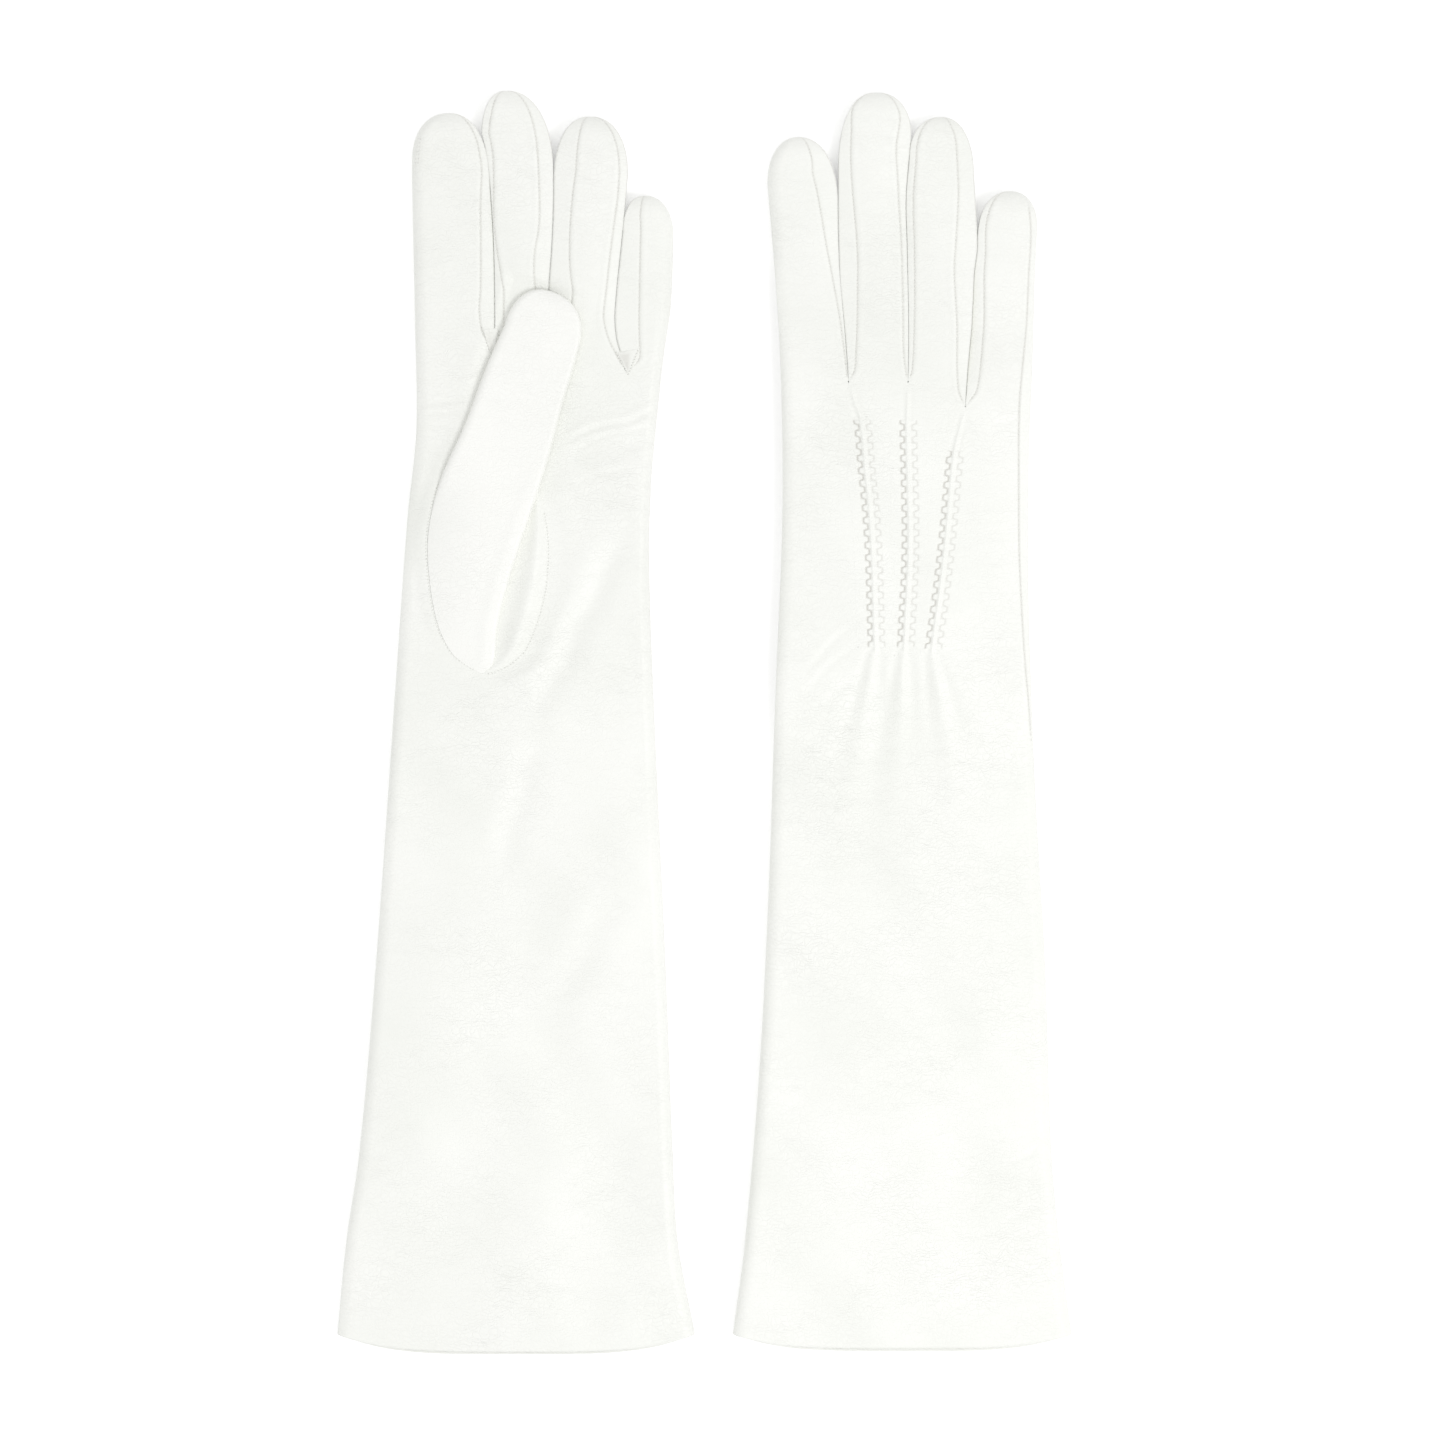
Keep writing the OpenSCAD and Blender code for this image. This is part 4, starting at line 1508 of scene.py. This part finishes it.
@dataclass(frozen=True)
class Studio:
    """Pale table, soft lights and the camera overhead, in metres and watts."""

    camera_place: Place = (0.00684, -0.0002, 3.0)
    focal: float = 196.7
    world: float = 0.815
    key: float = 6.1
    table_light: float = 0.1
    table_glow: float = 0.22
    table_half: float = 4.0
    table_gap: float = 0.0002
    table_tone: tuple[float, float, float, float] = (0.9, 0.9, 0.9, 1)
    key_place: Place = (0.65, -0.36, 1.35)
    key_size: float = 0.5

    def lamp(self) -> None:
        """Adds the large soft lamp, aimed at the middle of the table."""
        data = bpy.data.lights.new("key_lamp", "AREA")
        data.size = self.key_size
        data.energy = self.key
        lamp = bpy.data.objects.new("key_lamp", data)
        lamp.location = self.key_place
        way = -Vector(self.key_place)
        lamp.rotation_euler = way.to_track_quat("-Z", "Y").to_euler()
        bpy.context.scene.collection.objects.link(lamp)

    def table(self) -> None:
        """Adds the pale table that the gloves lie on."""
        half = self.table_half / MM
        corners = np.array([(-half, -half, 0), (half, -half, 0), (half, half, 0), (-half, half, 0)])
        table = mesh_piece("table_top", corners, [(0, 1, 2, 3)])
        table.location.z = -self.table_gap
        material = bpy.data.materials.new("pale_table")
        material.use_nodes = True
        w = Wiring(material.node_tree)
        surface = material.node_tree.nodes["Principled BSDF"]
        surface.inputs["Base Color"].default_value = self.table_tone
        surface.inputs["Roughness"].default_value = 0.9
        surface.inputs["Specular IOR Level"].default_value = 0.1
        seen = w.node("ShaderNodeLightPath").outputs["Is Camera Ray"]
        surface.inputs["Emission Color"].default_value = (1, 1, 1, 1)
        glow = w.math("ADD", w.math("MULTIPLY", seen, self.table_glow), self.table_light)
        material.node_tree.links.new(glow, surface.inputs["Emission Strength"])
        table.data.materials.append(material)

    def build(self) -> None:
        """Adds the table, the lights and the camera."""
        scene = bpy.context.scene
        scene.view_settings.view_transform = "Standard"
        world = bpy.data.worlds.new("soft_room")
        world.use_nodes = True
        world.node_tree.nodes["Background"].inputs["Color"].default_value = (1, 1, 1, 1)
        world.node_tree.nodes["Background"].inputs["Strength"].default_value = self.world
        scene.world = world
        self.table()
        self.lamp()
        data = bpy.data.cameras.new("camera")
        data.lens = self.focal
        data.sensor_width = 36
        data.clip_end = 50
        camera = bpy.data.objects.new("camera", data)
        camera.location = self.camera_place
        scene.collection.objects.link(camera)
        scene.camera = camera


LEFT_GLOVE = Glove(
    side="left",
    lines=(
        Line(((-232, -139.3), (-197, -135.9), (-163, -130.9), (-94, -124.8), (8, -117.6), (77, -112.7),
              (111, -109.3), (150, -109.8), (205, -110.9), (215, -110.9))),
        Line(((140, -79.5), (160, -79.5), (180, -79.8), (195, -80.6), (207, -81.6), (216, -82.8),
              (225, -85))),
        Line(((136, -59.8), (164, -59), (180, -57.9), (195, -57.3), (209, -57.2))),
        Line(((130, -29.6), (134, -30.2), (139, -31.6), (145, -33.3), (153, -34), (160, -33.6),
              (169, -32.8),
              (180, -31.6), (193, -30.3), (209, -28.9))),
        Line(((-232, -3.6), (-197, -10.1), (-163, -12), (-94, -14.6), (8, -19.2), (60, -20.9),
              (90, -20.2),
              (111, -18.4), (139, -15.4), (158, -12.7), (187, -11.6))),
    ),
    fingers=(
        Finger("index", (-97.1, 231), (213, 203),
               (None, Line(((143, 0.2), (146, 3.9), (155, 5.7), (165, 5.2), (180, 4.9), (195, 4.2),
                            (206, 3.1),
                            (216, 2.6), (223, 2)))), 178),
        Finger("middle", (-75.2, 239.5), (223, 208),
               (Line(((143, 0.2), (146, 4.5), (155, 4.9), (169, 2.5), (181, 0.9), (191, 0.4), (205, 1.5),
                      (217, 2.5), (230, 3))),
                Line(((141, 0.2), (145, 3), (164, 5), (170, 5.9), (178, 6.2), (188, 5.1), (201, 5.3),
                      (212, 5.7)))),
               178),
        Finger("ring", (-43.5, 229.7), (205, 208),
               (Line(((141, 0.2), (146, 6), (162, 9), (169, 8), (176, 7), (188, 6.6), (199, 7.2),
                      (209, 8.4))),
                Line(((134, 0.2), (137, 1.2), (150, 3.8), (155, 4.2), (165, 3.8), (176, 3.8),
                      (188, 3.5), (199, 3)))),
               178),
        Finger("little", (-22.5, 199.7), (186, 184),
               (Line(((134, 2.2), (136, 5), (139, 7.2), (143, 8.6), (158, 9.2), (172, 8), (180, 8.4),
                      (194, 5.5))),
                None), 160),
    ),
    crotches=(143, 141, 134),
    split=130,
    sag=7.5,
    palm_face=Face.TOP,
    arched=False,
    rows_of_points=(
        Line(((26, -71), (70, -73.5), (112, -77), (136, -79.4))),
        Line(((26, -61), (70, -60.6), (112, -60), (134, -59.8))),
        Line(((26, -49), (64, -44.5), (101, -40), (127, -35.4))),
    ),
    point_ends=((26, 112), (26, 112), (26, 101)),
    pivot=(-84, 62),
    creases=(
        Crease((-113, 121.5), (-84, 120), 0.7, 1.1),
        Crease((-111, 118.2), (-80, 116.4), 0.5, 1.0),
        Crease((-60, 105), (-14, 119), 0.6, 1.3),
        Crease((-56, 102), (-14, 115), 0.4, 1.1),
        Crease((-62, 98), (-12, 109), 0.7, 4.2),
        Crease((-56, 89), (-24, 97), 0.3, 1.4),
        Crease((-68, -6), (-26, 80), 1.3, 5.0),
        Crease((-78, -60), (-62, -2), 0.8, 5.0),
        Crease((-60, -118), (-32, -60), 0.7, 6.0),
    ),
    quirks=(
        ((-84.5, 149.5), (-77.5, 149.5), (-80.2, 137)),
        ((-63.2, 146), (-57, 146), (-60, 135)),
        ((-33.4, 140.2), (-24.6, 142.0), (-28.9, 131.4)),
    ),
    side_seam=Line(((-231, -9), (-197, -14.8), (-94, -19.2), (8, -23.6), (60, -25.2), (111, -22.6),
                    (139, -19.6),
                    (158, -17), (187, -16))),
    side_seam_face=Face.BOTTOM,
    seed=11,
    pleat_leans=(-0.2, 0.02, 0.12),
    dart=((-107.8, 222.9), (-108.9, 211.5)),
)

RIGHT_GLOVE = Glove(
    side="right",
    lines=(
        Line(((-232, 10.8), (-197, 15.4), (-128, 21.1), (-60, 24.5), (8, 26.8), (77, 29.5), (126, 29.1),
              (163, 27.2), (205, 23.8))),
        Line(((125, 54.8), (150, 53), (170, 51.3), (190, 50.7), (212, 50.7))),
        Line(((125, 77), (150, 77.3), (180, 76.8), (198, 76.4), (212, 77.5), (222, 78.5))),
        Line(((117, 98.5), (135, 99.8), (150, 101.2), (160, 101.7), (170, 102.2), (181, 103.5),
              (201, 102.6),
              (210, 102))),
        Line(((-232, 139.3), (-197, 134.7), (-163, 131.7), (-94, 129.4), (-26, 125.6), (43, 122.9),
              (100, 122.9),
              (144, 124.8), (163, 125.2), (189, 126.4))),
    ),
    fingers=(
        Finger("index", (35.5, 221.9), (204, 196),
               (None, Line(((129, 0.2), (152, 1.4), (168, 2.8), (190, 6), (207, 8.3), (214, 6.5)))), 178),
        Finger("middle", (65.1, 238.8), (211, 222),
               (Line(((129, 0.2), (133, 2.5), (139, 3.5), (170, 6.7), (183, 6.8), (206, 5), (223, 3.8),
                      (233, 0.7))),
                Line(((129, 0.2), (140, 1.8), (158, 2), (182, 2.1), (201, 3), (220, 5.4),
                      (231, 3)))), 178),
        Finger("ring", (89.9, 229.5), (214, 207),
               (Line(((129, 0.2), (133, 1.4), (147, 2), (170, 2.6), (193, 2.7), (210, 2.6))),
                Line(((119.5, 0.2), (126, 3), (150, 5.5), (170, 7.5), (180, 8.3), (201, 6.3),
                      (215, 5.9), (225, 4)))),
               178),
        Finger("little", (116.1, 201.4), (183, 188),
               (Line(((119.5, 0.2), (126, 4), (147, 4.6), (170, 3.7), (181, 2.9))), None), 160),
    ),
    crotches=(129, 129, 119.5),
    split=116,
    sag=6.3,
    palm_face=Face.BOTTOM,
    arched=True,
    rows_of_points=(
        Line(((28.1, 64.7), (31, 64.6), (61.6, 63.7), (80.6, 62.5), (95, 61), (114.6, 59.1), (121, 56.8),
              (127.5, 55))),
        Line(((28.1, 75.7), (65.7, 77.5), (114.6, 76.7), (127.5, 77))),
        Line(((27.4, 86.1), (46, 88.7), (69, 91.4), (103, 94.7), (112, 96.9), (118, 98.4))),
    ),
    point_ends=((28.1, 114.6), (28.1, 114.6), (27.4, 103)),
    pivot=(60, 62),
    creases=(
        Crease((34, 8), (60, 32), 0.22, 1.4),
        Crease((36, 18), (60, 40), 0.22, 1.3),
        Crease((38, 2), (66, 22), 0.25, 1.8),
        Crease((45, -55), (98, -61), 0.22, 1.0),
        Crease((60, -66), (112, -62), 0.2, 1.0),
        Crease((108, 113), (121, 116), 0.2, 0.9),
        Crease((112, -168), (129, -161), 0.25, 1.1),
        Crease((110, -190), (130, -182), 0.25, 1.2),
        Crease((112, -210), (132, -204), 0.25, 1.1),
    ),
    quirks=(
        ((51.3, 131), (58.3, 131), (54.8, 119)),
        ((73.5, 131), (80.5, 131), (77, 119)),
        ((95.6, 121.5), (102.4, 121.5), (98, 109.5)),
    ),
    side_seam=Line(((-7.2, 123.9), (9.1, 122.6), (21.7, 121.4), (45.6, 119.9), (65.7, 119.1),
                    (93.9, 118.9),
                    (119.3, 119.1), (133.8, 120.3), (150.9, 122), (170.2, 122.9), (185.8, 123.7),
                    (198, 122.6))),
    side_seam_face=Face.TOP,
    seed=31,
    pleat_leans=(-0.13, -0.03, 0.2),
)


# The light and shade tones are partly the leather's uneven tone and partly painted light and shade. The
# darker third colour is painted shade in seams, slits, furrows and gussets.
WHITE_KID = KidLeather("white_kid", (0.945, 0.95, 0.915), (0.905, 0.915, 0.872),
                       crevice=(0.7, 0.69, 0.65), roughness=0.46, relief=0.00022, crackle=1.0,
                       pore_scale=2100, gloss=0.45)
# A lighter copy of the white kid for the thumb: painted light, where the thumb catches more light than
# the palm.
PAINTED_LIGHT_KID = replace(WHITE_KID, name="white_kid_pale", light=(0.98, 0.98, 0.95),
                   shade=(0.955, 0.958, 0.925), relief=0.0002)
SUEDE = KidLeather("kid_suede", (0.88, 0.87, 0.82), (0.82, 0.81, 0.76), crevice=(0.6, 0.58, 0.54),
                   roughness=0.85, relief=0.00015, crackle=0.3, pore_scale=3200, gloss=0.2)
# The thread's tones are darker than the leather's, partly as painted shade, so that the seams show as
# dark lines.
COTTON = SewingThread("cotton_thread", (0.9, 0.9, 0.87), (0.8, 0.8, 0.76))


def dress(pieces: list[bpy.types.Object], finish: bpy.types.Material) -> None:
    """Gives pieces their finish.

    Args:
        pieces: the pieces.
        finish: the material.
    """
    for piece in pieces:
        piece.data.materials.clear()
        piece.data.materials.append(finish)
        log.info("%s: %d faces in %s", piece.name, len(piece.data.polygons), finish.name)


def main() -> None:
    """Builds the studio and both gloves."""
    logging.basicConfig(level=logging.INFO, format="%(message)s")
    Studio().build()
    groups = {"leather_grain": leather_grain(), "soft_stain": soft_stain()}
    finishes = (WHITE_KID, PAINTED_LIGHT_KID, SUEDE, COTTON)
    outside, pale, inside, cotton = (finish.build(groups) for finish in finishes)
    for glove in (LEFT_GLOVE, RIGHT_GLOVE):
        thumb = Thumb(glove)
        skins = [glove.trank(), glove.cuff(), thumb.gusset()]
        skins += [glove.panel(f) for f in range(4)]
        skins += [glove.fourchette(f, edge) for f in range(4) for edge in Edge if glove.is_slit(f, edge)]
        skins += [glove.point(i) for i in range(3)]
        threads = [thumb.stitches(), *glove.side_stitches(), *(glove.finger_seams(f) for f in range(4))]
        patches, sewn = zip(*(glove.quirk(i) for i in range(3)))
        skins += patches
        threads += sewn
        dress(skins, outside)
        # The thumb's stall gets the lighter copy of the white kid, painted light.
        dress([thumb.stall()], pale)
        dress([glove.flesh_side()], inside)
        dress(threads, cotton)


if __name__ == "__main__":
    main()
